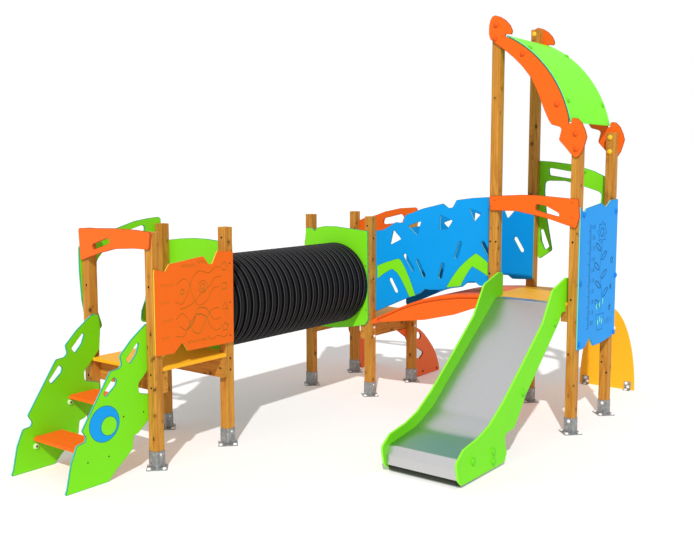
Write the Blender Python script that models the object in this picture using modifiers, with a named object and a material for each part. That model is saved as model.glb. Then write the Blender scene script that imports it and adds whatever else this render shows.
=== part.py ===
"""A playground multi-play structure: three timber towers joined by a ribbed crawl tunnel and a
curved bridge, with stairs, a slide, a climber, a rear climbing ramp and a curved roof.

Metres, +Z up. The origin is on the ground under the middle of post A, the nearest post of the
stair tower. +X runs from the tunnel towers to the slide tower, +Y from the stairs to the tunnel.
"""

import math

import bmesh
import bpy
from mathutils import Matrix, Vector

# Driving dimensions.
POST_SIDE = 0.090
TOWER = 0.8135
TUNNEL_RUN = 2.161
BRIDGE_RUN = 1.477
LOW_TOP = 1.933
MID_TOP = 2.780
HIGH_TOP = 3.825
PANEL = 0.019
DECK = 0.030
BRIDGE_EDGE = 0.045
BED = 0.004
LOW_DECK_TOP = 0.830
HIGH_DECK_TOP = 1.220
LOW_BEAM = (0.620, 0.7997)
HIGH_BEAM = (1.040, 1.1897)
LOW_BEAM_WIDTH = 0.050
HIGH_BEAM_WIDTH = 0.060
GAP = 0.0003

SHOE_HEIGHT = 0.150
SHOE_WALL = 0.004
PLATE_SIDE = 0.170
PLATE_THICK = 0.008
ANCHOR_REACH = 0.088
ANCHOR_RADIUS = 0.013
ANCHOR_HEIGHT = 0.016

TUNNEL_BORE = 0.380
TUNNEL_CREST = 0.431
TUNNEL_ROOT = 0.409
TUNNEL_RIBS = 24
TUNNEL_Z = LOW_DECK_TOP + TUNNEL_BORE

ROOF_CENTRE = (1.095, 2.601)
ROOF_RADIUS = 1.171
ROOF_SHEET = 0.012

# What follows from them.
HALF = POST_SIDE / 2
FAR = TOWER - HALF
X1 = -TOWER
Y1 = TOWER
Y2 = TOWER + TUNNEL_RUN
Y3 = Y2 + TOWER
X3 = BRIDGE_RUN
X4 = BRIDGE_RUN + TOWER
TUNNEL_X = X1 / 2
SLIDE_X = (X3 + X4) / 2

POSTS = {
    "a": (0.0, 0.0, LOW_TOP),
    "b": (0.0, Y1, LOW_TOP),
    "c": (X1, 0.0, LOW_TOP),
    "d": (X1, Y1, LOW_TOP),
    "e": (X1, Y2, LOW_TOP),
    "f": (0.0, Y2, LOW_TOP),
    "g": (X1, Y3, LOW_TOP),
    "h": (0.0, Y3, LOW_TOP),
    "i": (X3, Y2, HIGH_TOP),
    "j": (X3, Y3, HIGH_TOP),
    "k": (X4, Y2, MID_TOP),
    "l": (X4, Y3, MID_TOP),
}

# Turns that lay a flat outline, drawn across and up, into each plane of the world.
PLANES = {
    "XY": (0.0, 0.0, 0.0),
    "XZ": (math.pi / 2, 0.0, 0.0),
    "YZ": (math.pi / 2, 0.0, math.pi / 2),
}

# The axis that a plane leaves out, along which a board there has its thickness.
ACROSS_AXIS = {"YZ": 0, "XZ": 1, "XY": 2}

# Red, green, blue, roughness and metallic.
COLOURS = {
    "timber": (0.58, 0.27, 0.05, 0.62, 0.0),
    "galvanised": (0.30, 0.32, 0.33, 0.45, 0.85),
    "steel": (0.55, 0.55, 0.55, 0.25, 1.0),
    "green": (0.22, 0.80, 0.02, 0.40, 0.0),
    "orange": (1.00, 0.15, 0.01, 0.40, 0.0),
    "red_orange": (0.80, 0.08, 0.02, 0.40, 0.0),
    "blue": (0.01, 0.31, 0.87, 0.40, 0.0),
    "yellow": (0.95, 0.48, 0.03, 0.40, 0.0),
    "black": (0.02, 0.02, 0.025, 0.35, 0.0),
}


def clear_scene():
    for obj in list(bpy.data.objects):
        bpy.data.objects.remove(obj, do_unlink=True)


def new_collection(name, hidden):
    collection = bpy.data.collections.new(name)
    bpy.context.scene.collection.children.link(collection)
    collection.hide_render = hidden
    return collection


def make_material(name):
    red, green, blue, roughness, metallic = COLOURS[name]
    material = bpy.data.materials.new(name)
    material.use_nodes = True
    shader = material.node_tree.nodes["Principled BSDF"]
    shader.inputs["Base Color"].default_value = (red, green, blue, 1.0)
    shader.inputs["Roughness"].default_value = roughness
    shader.inputs["Metallic"].default_value = metallic
    return material


clear_scene()
PARTS = new_collection("multi_play_structure", False)
CUTTERS = new_collection("cutters", True)
MATERIALS = {name: make_material(name) for name in COLOURS}


def link(name, data, material, collection=PARTS):
    obj = bpy.data.objects.new(name, data)
    collection.objects.link(obj)
    if not data.materials:
        data.materials.append(MATERIALS[material])
    return obj


def rounded(corners, radius, steps=3):
    """The outline with each corner turned into an arc, smaller where a side is short."""
    points = []
    count = len(corners)
    for index in range(count):
        here = Vector(corners[index][:2])
        behind = Vector(corners[index - 1][:2]) - here
        ahead = Vector(corners[(index + 1) % count][:2]) - here
        wanted = corners[index][2] if len(corners[index]) > 2 else radius
        angle = behind.angle(ahead)
        if wanted <= 0 or angle > math.radians(172):
            points.append(tuple(here))
            continue
        reach = min(wanted / math.tan(angle / 2), 0.45 * behind.length, 0.45 * ahead.length)
        size = reach * math.tan(angle / 2)
        start = here + behind.normalized() * reach
        end = here + ahead.normalized() * reach
        halfway = (behind.normalized() + ahead.normalized()).normalized()
        middle = here + halfway * (size / math.sin(angle / 2))
        first = start - middle
        sweep = first.angle_signed(end - middle)
        for step in range(steps + 1):
            turn = Matrix.Rotation(-sweep * step / steps, 2)
            points.append(tuple(middle + turn @ first))
    return points


def arc(centre, radius, start, end, steps):
    """Points on an arc, with its angles in degrees from the first axis."""
    points = []
    for step in range(steps + 1):
        angle = math.radians(start + (end - start) * step / steps)
        across = centre[0] + radius * math.cos(angle)
        up = centre[1] + radius * math.sin(angle)
        points.append((across, up))
    return points


def slot(first, last, radius, steps=4):
    """A long hole with round ends."""
    run = Vector(last) - Vector(first)
    heading = math.degrees(math.atan2(run.y, run.x))
    around_last = arc(last, radius, heading - 90, heading + 90, steps)
    return around_last + arc(first, radius, heading + 90, heading + 270, steps)


def ribbon(line, thickness, plumb_ends=False):
    """The closed outline of a sheet seen edge on: the line is its top, and it is that thick."""
    points = [Vector(point) for point in line]
    lower = []
    for index, point in enumerate(points):
        behind = points[max(index - 1, 0)]
        ahead = points[min(index + 1, len(points) - 1)]
        heading = (ahead - behind).normalized()
        if plumb_ends and index in (0, len(points) - 1):
            heading = Vector((1.0, 0.0))
        lower.append(tuple(point + Vector((heading.y, -heading.x)) * thickness))
    return [tuple(point) for point in points] + lower[::-1]


def sampled(line, steps):
    """A smooth curve through the given points."""
    points = [Vector(point) for point in line]
    padded = [points[0] * 2 - points[1]] + points + [points[-1] * 2 - points[-2]]
    curve = []
    for index in range(1, len(padded) - 2):
        p0, p1, p2, p3 = padded[index - 1 : index + 3]
        for step in range(steps):
            t = step / steps
            curve.append(
                0.5
                * (
                    p1 * 2
                    + (p2 - p0) * t
                    + (p0 * 2 - p1 * 5 + p2 * 4 - p3) * t**2
                    + (p1 * 3 - p0 - p2 * 3 + p3) * t**3
                )
            )
    curve.append(points[-1])
    return [tuple(point) for point in curve]


def board(name, plane, span, outline, material, holes=(), collection=PARTS):
    """A flat board between two places on the axis that its plane leaves out."""
    curve = bpy.data.curves.new(name, "CURVE")
    curve.dimensions = "2D"
    curve.fill_mode = "BOTH"
    curve.extrude = (span[1] - span[0]) / 2
    for loop in [outline, *holes]:
        spline = curve.splines.new("POLY")
        spline.points.add(len(loop) - 1)
        for point, (across, up) in zip(spline.points, loop):
            point.co = (across, up, 0.0, 1.0)
        spline.use_cyclic_u = True
    obj = link(name, curve, material, collection)
    middle = (span[0] + span[1]) / 2
    obj.rotation_euler = PLANES[plane]
    obj.location[ACROSS_AXIS[plane]] = middle
    return obj


def as_mesh(obj):
    """The same piece as a welded mesh, so that it can be cut or joined."""
    bpy.context.view_layer.update()
    graph = bpy.context.evaluated_depsgraph_get()
    mesh = bpy.data.meshes.new_from_object(obj.evaluated_get(graph))
    build = bmesh.new()
    build.from_mesh(mesh)
    bmesh.ops.remove_doubles(build, verts=build.verts, dist=0.00001)
    bmesh.ops.recalc_face_normals(build, faces=build.faces)
    build.to_mesh(mesh)
    build.free()
    name = obj.name
    place = obj.matrix_world.copy()
    collection = obj.users_collection[0]
    bpy.data.objects.remove(obj, do_unlink=True)
    solid = bpy.data.objects.new(name, mesh)
    collection.objects.link(solid)
    solid.matrix_world = place
    return solid


def box(name, low, high, material, collection=PARTS):
    mesh = bpy.data.meshes.new(name)
    build = bmesh.new()
    size = Vector(high) - Vector(low)
    place = Matrix.Translation((Vector(high) + Vector(low)) / 2)
    bmesh.ops.create_cube(build, size=1.0, matrix=place @ Matrix.Diagonal((*size, 1.0)))
    build.to_mesh(mesh)
    build.free()
    return link(name, mesh, material, collection)


def combine(obj, other, operation):
    modifier = obj.modifiers.new(operation.lower() + "_" + other.name, "BOOLEAN")
    modifier.operation = operation
    modifier.object = other
    modifier.solver = "EXACT"
    other.hide_render = True
    other.display_type = "WIRE"


def front(y):
    """The span of a panel on the faces of the posts at y that look towards -Y."""
    return (y - HALF - GAP - PANEL, y - HALF - GAP)


def back(y):
    """The span of a panel on their faces that look towards +Y."""
    return (y + HALF + GAP, y + HALF + GAP + PANEL)


def add_posts():
    outline = rounded([(-HALF, -HALF), (HALF, -HALF), (HALF, HALF), (-HALF, HALF)], 0.006, 2)
    for name, (x, y, top) in POSTS.items():
        post = board(f"post_{name}", "XY", (PLATE_THICK + GAP, top), outline, "timber")
        post.location.x = x
        post.location.y = y


def foot_mesh():
    """A square base plate turned to point along the axes, with a box shoe and four anchors."""
    reach = PLATE_SIDE / math.sqrt(2)
    diamond = rounded([(reach, 0.0), (0.0, reach), (-reach, 0.0), (0.0, -reach)], 0.012, 2)
    plate = as_mesh(board("foot", "XY", (0.0, PLATE_THICK), diamond, "galvanised"))
    outer = HALF + GAP + SHOE_WALL
    inner = HALF + GAP
    low = PLATE_THICK / 2
    shoe = box("shoe", (-outer, -outer, low), (outer, outer, SHOE_HEIGHT), "galvanised", CUTTERS)
    socket = box(
        "socket",
        (-inner, -inner, PLATE_THICK),
        (inner, inner, SHOE_HEIGHT + 0.01),
        "galvanised",
        CUTTERS,
    )
    combine(plate, shoe, "UNION")
    combine(plate, socket, "DIFFERENCE")
    for turn in range(4):
        angle = math.radians(90 * turn)
        build = bmesh.new()
        place = Matrix.Translation(
            (ANCHOR_REACH * math.cos(angle), ANCHOR_REACH * math.sin(angle), PLATE_THICK + 0.004)
        )
        bmesh.ops.create_cone(
            build,
            cap_ends=True,
            segments=10,
            radius1=ANCHOR_RADIUS,
            radius2=ANCHOR_RADIUS * 0.7,
            depth=ANCHOR_HEIGHT,
            matrix=place,
        )
        mesh = bpy.data.meshes.new("anchor")
        build.to_mesh(mesh)
        build.free()
        anchor = link(f"anchor_{turn}", mesh, "galvanised", CUTTERS)
        combine(plate, anchor, "UNION")
    solid = as_mesh(plate)
    mesh = solid.data
    mesh.transform(solid.matrix_world)
    bpy.data.objects.remove(solid, do_unlink=True)
    return mesh


def add_feet():
    mesh = foot_mesh()
    for name, (x, y, _) in POSTS.items():
        foot = link(f"foot_{name}", mesh, "galvanised")
        foot.location = (x, y, 0.0)


def add_tower_1():
    inner = HALF + GAP
    left = X1 + inner
    stair_left = left + PANEL + 2 * GAP
    stair_right = -inner - PANEL - 2 * GAP
    rear = Y1 + HALF
    deck = [
        (stair_left, -HALF),
        (stair_right, -HALF),
        (stair_right, inner),
        (HALF, inner),
        (HALF, FAR - GAP),
        (-inner, FAR - GAP),
        (-inner, rear),
        (left, rear),
        (left, inner),
        (stair_left, inner),
    ]
    span = (LOW_DECK_TOP - DECK, LOW_DECK_TOP)
    board("tower_1_deck", "XY", span, deck, "yellow")
    ends = (X1 - HALF, HALF)
    for name, low in (("front", inner), ("rear", FAR - GAP - LOW_BEAM_WIDTH)):
        box(
            f"tower_1_beam_{name}",
            (ends[0], low, LOW_BEAM[0]),
            (ends[1], low + LOW_BEAM_WIDTH, LOW_BEAM[1]),
            "timber",
        )
    handle = [
        (-0.868, 1.934),
        (-0.400, 1.950),
        (-0.140, 1.948),
        (0.055, 1.938),
        (0.032, 1.796),
        (-0.150, 1.797),
        (-0.383, 1.781),
        (-0.580, 1.737),
        (-0.848, 1.656),
    ]
    hole = slot((-0.655, 1.788), (-0.478, 1.841), 0.023)
    board("tower_1_handle_panel", "XZ", front(0.0), rounded(handle, 0.02), "orange", [hole])
    play = [
        (-0.040, 1.641),
        (0.074, 1.613),
        (0.118, 1.670),
        (0.490, 1.706),
        (0.556, 1.633),
        (0.595, 1.629),
        (0.658, 1.737),
        (0.845, 1.723),
        (0.842, 0.922),
        (0.303, 0.930),
        (0.248, 1.012),
        (0.152, 0.932),
        (-0.040, 0.939),
    ]
    board("tower_1_play_panel", "YZ", back(0.0), rounded(play, 0.015), "orange")
    arch = [
        (0.842, 1.993, 0.03),
        (0.700, 1.985),
        (0.540, 1.965),
        (0.350, 1.915),
        (0.150, 1.855),
        (-0.065, 1.780, 0.03),
        (-0.066, 1.560),
        (-0.050, 1.314),
        (-0.010, 1.100),
        (0.020, 1.020, 0.02),
        (0.158, 1.050, 0.03),
        (0.112, 1.190),
        (0.095, 1.400),
        (0.110, 1.640, 0.1),
        (0.220, 1.755, 0.1),
        (0.420, 1.800),
        (0.600, 1.805, 0.1),
        (0.690, 1.700, 0.1),
        (0.690, 1.420),
        (0.643, 1.235),
        (0.600, 1.140),
        (0.588, 1.040, 0.03),
        (0.740, 1.010, 0.02),
        (0.830, 1.150),
        (0.848, 1.400),
    ]
    hole = [(0.430, 1.850), (0.470, 1.888), (0.625, 1.926), (0.652, 1.905), (0.640, 1.850)]
    board(
        "tower_1_doorway_panel",
        "YZ",
        (X1 - HALF - GAP - PANEL, X1 - HALF - GAP),
        rounded(arch, 0.02),
        "green",
        [rounded(hole, 0.015)],
    )


def add_tunnel_panels():
    bore = arc((TUNNEL_X, TUNNEL_Z), TUNNEL_BORE, 0, 350, 35)
    outline = [
        (-0.852, 1.640),
        (-0.836, 1.785),
        (-0.750, 1.783),
        (-0.714, 1.745),
        (-0.678, 1.791),
        (-0.566, 1.812),
        (-0.427, 1.814),
        (-0.223, 1.798),
        (0.008, 1.781),
        (0.018, 0.832),
        (-0.022, 0.774),
        (-0.223, 0.730),
        (-0.429, 0.700),
        (-0.669, 0.693),
        (-0.836, 0.760),
    ]
    board("tower_2_tunnel_panel", "XZ", front(Y2), rounded(outline, 0.02), "green", [bore])
    outline = [
        (-0.836, 1.775),
        (-0.758, 1.783),
        (-0.623, 1.799),
        (-0.463, 1.811),
        (-0.295, 1.812),
        (-0.144, 1.802),
        (0.026, 1.785),
        (0.026, 0.832),
        (-0.022, 0.774),
        (-0.223, 0.730),
        (-0.429, 0.700),
        (-0.669, 0.693),
        (-0.836, 0.760),
    ]
    board("tower_1_tunnel_panel", "XZ", back(Y1), rounded(outline, 0.02), "green", [bore])


def add_tunnel():
    """A corrugated pipe: a turned wall with rounded-off ribs and a plain bore."""
    start = back(Y1)[1] + GAP
    end = front(Y2)[0] - GAP
    pitch = (end - start) / TUNNEL_RIBS
    rib = [
        (0.00, TUNNEL_ROOT),
        (0.22, TUNNEL_CREST),
        (0.62, TUNNEL_CREST),
        (0.84, TUNNEL_ROOT),
    ]
    outer = []
    for index in range(TUNNEL_RIBS):
        for share, radius in rib:
            outer.append((radius, start + (index + share) * pitch))
    outer.append((TUNNEL_ROOT, end))
    profile = outer[::-1] + [(TUNNEL_BORE, start), (TUNNEL_BORE, end)]
    mesh = bpy.data.meshes.new("tunnel")
    build = bmesh.new()
    points = [build.verts.new((radius, 0.0, along)) for radius, along in profile]
    for index, point in enumerate(points):
        build.edges.new((point, points[(index + 1) % len(points)]))
    build.to_mesh(mesh)
    build.free()
    tunnel = link("tunnel", mesh, "black")
    turn = tunnel.modifiers.new("turn", "SCREW")
    turn.steps = 28
    turn.render_steps = 28
    turn.use_merge_vertices = True
    turn.merge_threshold = 0.00005
    tunnel.rotation_euler.x = -math.pi / 2
    tunnel.location = (TUNNEL_X, 0.0, TUNNEL_Z)


def add_stairs():
    outline = [
        (0.027, 1.204, 0.03),
        (-0.050, 1.190),
        (-0.195, 1.086),
        (-0.310, 0.975),
        (-0.295, 0.905),
        (-0.322, 0.878),
        (-0.403, 0.871),
        (-0.495, 0.735),
        (-0.683, 0.458),
        (-0.645, 0.397),
        (-0.660, 0.366),
        (-0.730, 0.358),
        (-0.788, 0.229),
        (-0.830, 0.040),
        (-0.850, 0.000, 0.01),
        (-0.450, 0.000, 0.03),
        (-0.375, 0.073),
        (-0.290, 0.136),
        (-0.210, 0.200),
        (-0.195, 0.310),
        (-0.145, 0.320),
        (-0.042, 0.402),
        (0.019, 0.480),
        (0.019, 0.604),
        (-0.131, 0.643, 0.03),
        (-0.135, 0.722, 0.03),
        (-0.081, 0.770),
        (0.029, 0.890),
        (0.045, 1.070),
    ]
    upper = [(-0.135, 1.057), (-0.122, 1.039), (-0.151, 0.966), (-0.217, 0.896), (-0.254, 0.939)]
    lower = [(-0.376, 0.822), (-0.347, 0.791), (-0.361, 0.752), (-0.455, 0.677), (-0.479, 0.707)]
    holes = [rounded(upper, 0.012), rounded(lower, 0.012)]
    left = X1 + HALF + GAP
    right = -HALF - GAP - PANEL
    board("stair_plate_left", "YZ", (left, left + PANEL), rounded(outline, 0.02), "green", holes)
    board("stair_plate_right", "YZ", (right, right + PANEL), rounded(outline, 0.02), "green", holes)
    rise = LOW_DECK_TOP / 3
    for name, lip, top in (("lower", -0.645, rise), ("upper", -0.300, 2 * rise)):
        tread = [
            (lip, top - 0.022),
            (lip + 0.022, top),
            (lip + 0.275, top),
            (lip + 0.275, top - DECK),
            (lip, top - DECK),
        ]
        board(f"stair_tread_{name}", "YZ", (left + PANEL + GAP, right - GAP), tread, "orange")


def add_tower_2():
    inner = HALF + GAP
    left = X1 + inner
    ends = (Y2 - HALF, Y3 + HALF)
    deck = [
        (left, ends[0]),
        (-inner, ends[0]),
        (-inner, Y2 + inner),
        (HALF, Y2 + inner),
        (HALF, Y3 - inner),
        (-inner, Y3 - inner),
        (-inner, ends[1]),
        (left, ends[1]),
        (left, Y3 - inner),
        (X1 - HALF, Y3 - inner),
        (X1 - HALF, Y2 + inner),
        (left, Y2 + inner),
    ]
    board("tower_2_deck", "XY", (LOW_DECK_TOP - DECK, LOW_DECK_TOP), deck, "yellow")
    for name, low in (("left", left), ("right", -inner - LOW_BEAM_WIDTH)):
        box(
            f"tower_2_beam_{name}",
            (low, ends[0], LOW_BEAM[0]),
            (low + LOW_BEAM_WIDTH, ends[1], LOW_BEAM[1]),
            "timber",
        )
    handle = [
        (-0.850, 1.790),
        (-0.730, 1.848),
        (-0.538, 1.895),
        (-0.410, 1.940),
        (-0.201, 1.984),
        (0.030, 2.000, 0.03),
        (0.038, 1.811, 0.03),
        (-0.060, 1.760),
        (-0.144, 1.738),
        (-0.423, 1.706),
        (-0.845, 1.705),
    ]
    hole = [(-0.440, 1.790), (-0.417, 1.862), (-0.180, 1.918), (-0.145, 1.884), (-0.172, 1.821)]
    board(
        "tower_2_handle_panel",
        "XZ",
        back(Y3),
        rounded(handle, 0.02),
        "orange",
        [rounded(hole, 0.02)],
    )
    barrier = [
        (Y2 - 0.040, 0.930),
        (Y2 + 0.150, 0.930),
        (Y2 + 0.240, 1.000),
        (Y2 + 0.330, 0.930),
        (Y3 + 0.040, 0.930),
        (Y3 + 0.040, 1.735),
        (Y2 + 0.640, 1.720),
        (Y2 + 0.580, 1.640),
        (Y2 + 0.510, 1.700),
        (Y2 + 0.130, 1.690),
        (Y2 + 0.060, 1.640),
        (Y2 - 0.040, 1.655),
    ]
    span = (X1 - HALF - GAP - PANEL, X1 - HALF - GAP)
    board("tower_2_barrier_panel", "YZ", span, rounded(barrier, 0.015), "orange")


def quarter_arch(inner_end, reach):
    """The outline of a climber plate between its end under the deck and its foot."""
    curve = [
        (3.965, 0.594),
        (4.038, 0.563),
        (4.124, 0.506),
        (4.224, 0.417),
        (4.326, 0.316),
        (4.409, 0.205),
        (4.463, 0.088),
    ]
    return [
        (*inner_end[0], 0.004),
        (3.840, 0.617),
        *[point for point in curve if point[0] < reach],
        (reach, 0.000),
        (3.990, 0.000),
        (3.920, 0.150),
        (3.850, 0.320),
        (*inner_end[1], 0.004),
    ]


def add_climber():
    """Two quarter-arch plates at the back of tower 2, with holes for hands and feet."""
    grip = [(3.945, 0.545), (4.030, 0.532), (4.062, 0.482), (4.040, 0.452), (3.955, 0.462)]
    step = [(3.940, 0.372), (4.128, 0.275), (4.030, 0.212), (3.965, 0.235)]
    step_left = [(4.075, 0.330), (4.170, 0.280), (4.110, 0.200)]
    inner = (-HALF - GAP - PANEL, -HALF - GAP)
    outer = (X1 - HALF - GAP - PANEL, X1 - HALF - GAP)
    hook = ((3.568, 0.6187), (3.744, 0.513))
    stub = ((3.745, 0.6187), (3.745, 0.511))
    for name, span, inner_end, reach, hole in (
        ("right", inner, hook, 4.488, step),
        ("left", outer, stub, 4.285, step_left),
    ):
        outline = rounded(quarter_arch(inner_end, reach), 0.02)
        holes = [rounded(grip, 0.02), rounded(hole, 0.02)]
        board(f"climber_plate_{name}", "YZ", span, outline, "red_orange", holes)


def add_bridge():
    surface = sampled(
        [
            (0.0456, 0.830),
            (0.260, 0.936),
            (0.500, 1.041),
            (0.741, 1.130),
            (0.980, 1.180),
            (1.220, 1.205),
            (1.4317, 1.220),
        ],
        3,
    )
    outline = ribbon(surface, BRIDGE_EDGE, plumb_ends=True)
    deck = as_mesh(board("bridge_deck", "XZ", (Y2 - HALF, Y3 + HALF), outline, "orange"))
    crescent = [
        (0.130, 0.843),
        (0.288, 0.915),
        (0.413, 0.975),
        (0.537, 1.023),
        (0.658, 1.066),
        (0.778, 1.097),
        (0.895, 1.123),
        (1.125, 1.162),
        (1.410, 1.184),
        (1.305, 1.084),
        (1.067, 0.993),
        (0.720, 0.905),
        (0.400, 0.860),
        (0.200, 0.828),
    ]
    lap = 0.012
    spans = {
        "front": (front(Y2)[0], Y2 - HALF + lap),
        "rear": (Y3 + HALF - lap, back(Y3)[1]),
    }
    for name, span in spans.items():
        fascia = board(f"fascia_{name}", "XZ", span, crescent, "orange", (), CUTTERS)
        combine(deck, as_mesh(fascia), "UNION")
    outline = [
        (-0.040, 1.770),
        (0.136, 1.795),
        (0.289, 1.879),
        (0.382, 1.875),
        (0.406, 1.953),
        (0.620, 2.030),
        (0.863, 2.088),
        (0.926, 2.044),
        (0.972, 2.050),
        (1.016, 2.125),
        (1.200, 2.150),
        (1.515, 2.170),
        (1.515, 1.300),
        (1.329, 1.290),
        (1.285, 1.290),
        (1.240, 1.323),
        (1.172, 1.323),
        (1.094, 1.262),
        (0.839, 1.212),
        (0.720, 1.200),
        (0.660, 1.205),
        (0.600, 1.154),
        (0.415, 1.081),
        (0.044, 0.915),
        (-0.040, 0.900),
    ]
    wedges = [
        [(0.263, 1.800), (0.361, 1.706), (0.222, 1.638)],
        [(0.444, 1.846), (0.603, 1.902), (0.560, 1.747)],
        [(0.833, 1.970), (0.975, 1.918), (0.912, 1.830), (0.826, 1.824)],
        [(1.159, 2.048), (1.300, 2.003), (1.221, 1.918)],
    ]
    slots = [
        ((0.409, 1.537), (0.508, 1.398)),
        ((0.563, 1.493), (0.643, 1.345)),
        ((0.869, 1.471), (0.838, 1.345)),
        ((1.066, 1.698), (1.023, 1.560)),
        ((1.320, 1.711), (1.394, 1.594)),
        ((0.233, 1.271), (0.303, 1.155)),
    ]
    holes = [rounded(wedge, 0.008) for wedge in wedges]
    holes += [slot(first, last, 0.020) for first, last in slots]
    inside_front = (Y2 + HALF + GAP, Y2 + HALF + GAP + PANEL)
    inside_rear = (Y3 - HALF - GAP - PANEL, Y3 - HALF - GAP)
    board("bridge_panel_front", "XZ", inside_front, rounded(outline, 0.015), "blue", holes)
    board("bridge_panel_rear", "XZ", inside_rear, rounded(outline, 0.015), "blue", holes)


def add_tower_3():
    inner = HALF + GAP
    ends = (Y2 - HALF, Y3 + HALF)
    left = X3 + inner
    right = X4 - inner
    deck = [
        (left, ends[0]),
        (right, ends[0]),
        (right, Y2 + inner),
        (X4 + HALF, Y2 + inner),
        (X4 + HALF, Y3 - inner),
        (right, Y3 - inner),
        (right, ends[1]),
        (left, ends[1]),
        (left, Y3 - inner),
        (X3 - HALF, Y3 - inner),
        (X3 - HALF, Y2 + inner),
        (left, Y2 + inner),
    ]
    board("tower_3_deck", "XY", (HIGH_DECK_TOP - DECK, HIGH_DECK_TOP), deck, "yellow")
    for name, low in (("left", left), ("right", right - HIGH_BEAM_WIDTH)):
        box(
            f"tower_3_beam_{name}",
            (low, ends[0], HIGH_BEAM[0]),
            (low + HIGH_BEAM_WIDTH, ends[1], HIGH_BEAM[1]),
            "timber",
        )
    handle = [
        (1.437, 2.175),
        (1.768, 2.193),
        (1.911, 2.193),
        (2.252, 2.168),
        (2.333, 2.165),
        (2.347, 1.996),
        (2.316, 1.896),
        (2.258, 1.916),
        (2.065, 1.973),
        (1.936, 2.001),
        (1.719, 2.040),
        (1.450, 2.038),
    ]
    hole = [
        (1.923, 2.111),
        (2.033, 2.090),
        (2.146, 2.034),
        (2.157, 1.999),
        (2.015, 2.031),
        (1.920, 2.060),
    ]
    board(
        "tower_3_handle_panel",
        "XZ",
        front(Y2),
        rounded(handle, 0.02),
        "orange",
        [rounded(hole, 0.015)],
    )
    blue = [
        (2.930, 2.110),
        (2.944, 2.066),
        (3.025, 2.041),
        (3.057, 2.076),
        (3.412, 2.115),
        (3.523, 2.069),
        (3.650, 2.136),
        (3.828, 2.142),
        (3.828, 0.850),
        (3.753, 0.800),
        (3.471, 0.774),
        (3.299, 0.773),
        (3.206, 0.873),
        (3.106, 0.794),
        (3.060, 0.783),
        (2.930, 0.785),
    ]
    board("tower_3_side_panel", "YZ", back(X4), rounded(blue, 0.015), "blue")
    arch = [
        (1.440, 2.520, 0.03),
        (1.650, 2.506),
        (1.884, 2.475),
        (2.100, 2.410),
        (2.328, 2.300, 0.04),
        (2.328, 1.800),
        (2.245, 1.500, 0.02),
        (2.090, 1.630, 0.03),
        (2.150, 1.931),
        (2.186, 2.199, 0.05),
        (2.000, 2.258),
        (1.798, 2.311),
        (1.584, 2.312, 0.04),
        (1.580, 2.200),
        (1.608, 1.942),
        (1.676, 1.602, 0.03),
        (1.530, 1.500, 0.02),
        (1.440, 1.800),
    ]
    bar = [(1.622, 2.445), (1.868, 2.404), (1.870, 2.333), (1.632, 2.368)]
    leg = [(1.542, 1.815), (1.575, 1.812), (1.645, 1.640), (1.600, 1.600), (1.560, 1.690)]
    holes = [rounded(bar, 0.015), rounded(leg, 0.015)]
    board("tower_3_doorway_panel", "XZ", back(Y3), rounded(arch, 0.02), "green", holes)


def add_rear_ramp():
    """An arch-shaped plate stands on two angle brackets and carries a sloping tread."""
    centre = 1.890
    base = 4.890
    half_width = 0.314
    height = 0.905
    arch = []
    for step in range(17):
        angle = math.pi * step / 16
        across = centre + half_width * math.cos(angle)
        arch.append((across, height * math.sin(angle)))
    plate = as_mesh(board("rear_ramp", "XZ", (base, base + PANEL), arch, "yellow"))
    start = back(Y3)[0] - GAP
    tread = [
        (start + GAP, 1.200),
        (base + 0.010, 0.870),
        (base + 0.010, 0.840),
        (start + GAP, 1.170),
    ]
    span = (centre - 0.110, centre + 0.110)
    plank = as_mesh(board("ramp_tread", "YZ", span, tread, "yellow", (), CUTTERS))
    for point in plank.data.vertices:
        place = plank.matrix_world @ point.co
        if place.y > base:
            place.x = centre + (place.x - centre) / 2
            point.co = plank.matrix_world.inverted() @ place
    combine(plate, plank, "UNION")
    for side in (-1, 1):
        middle = centre + side * 0.240
        corners = [
            (base + 0.001, 0.0),
            (base + 0.001, 0.090),
            (base - 0.005, 0.090),
            (base - 0.005, 0.006),
            (base - 0.060, 0.006),
            (base - 0.060, 0.0),
        ]
        bracket = board(
            f"bracket_{side}",
            "YZ",
            (middle - 0.030, middle + 0.030),
            corners,
            "yellow",
            (),
            CUTTERS,
        )
        combine(plate, as_mesh(bracket), "UNION")


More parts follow.
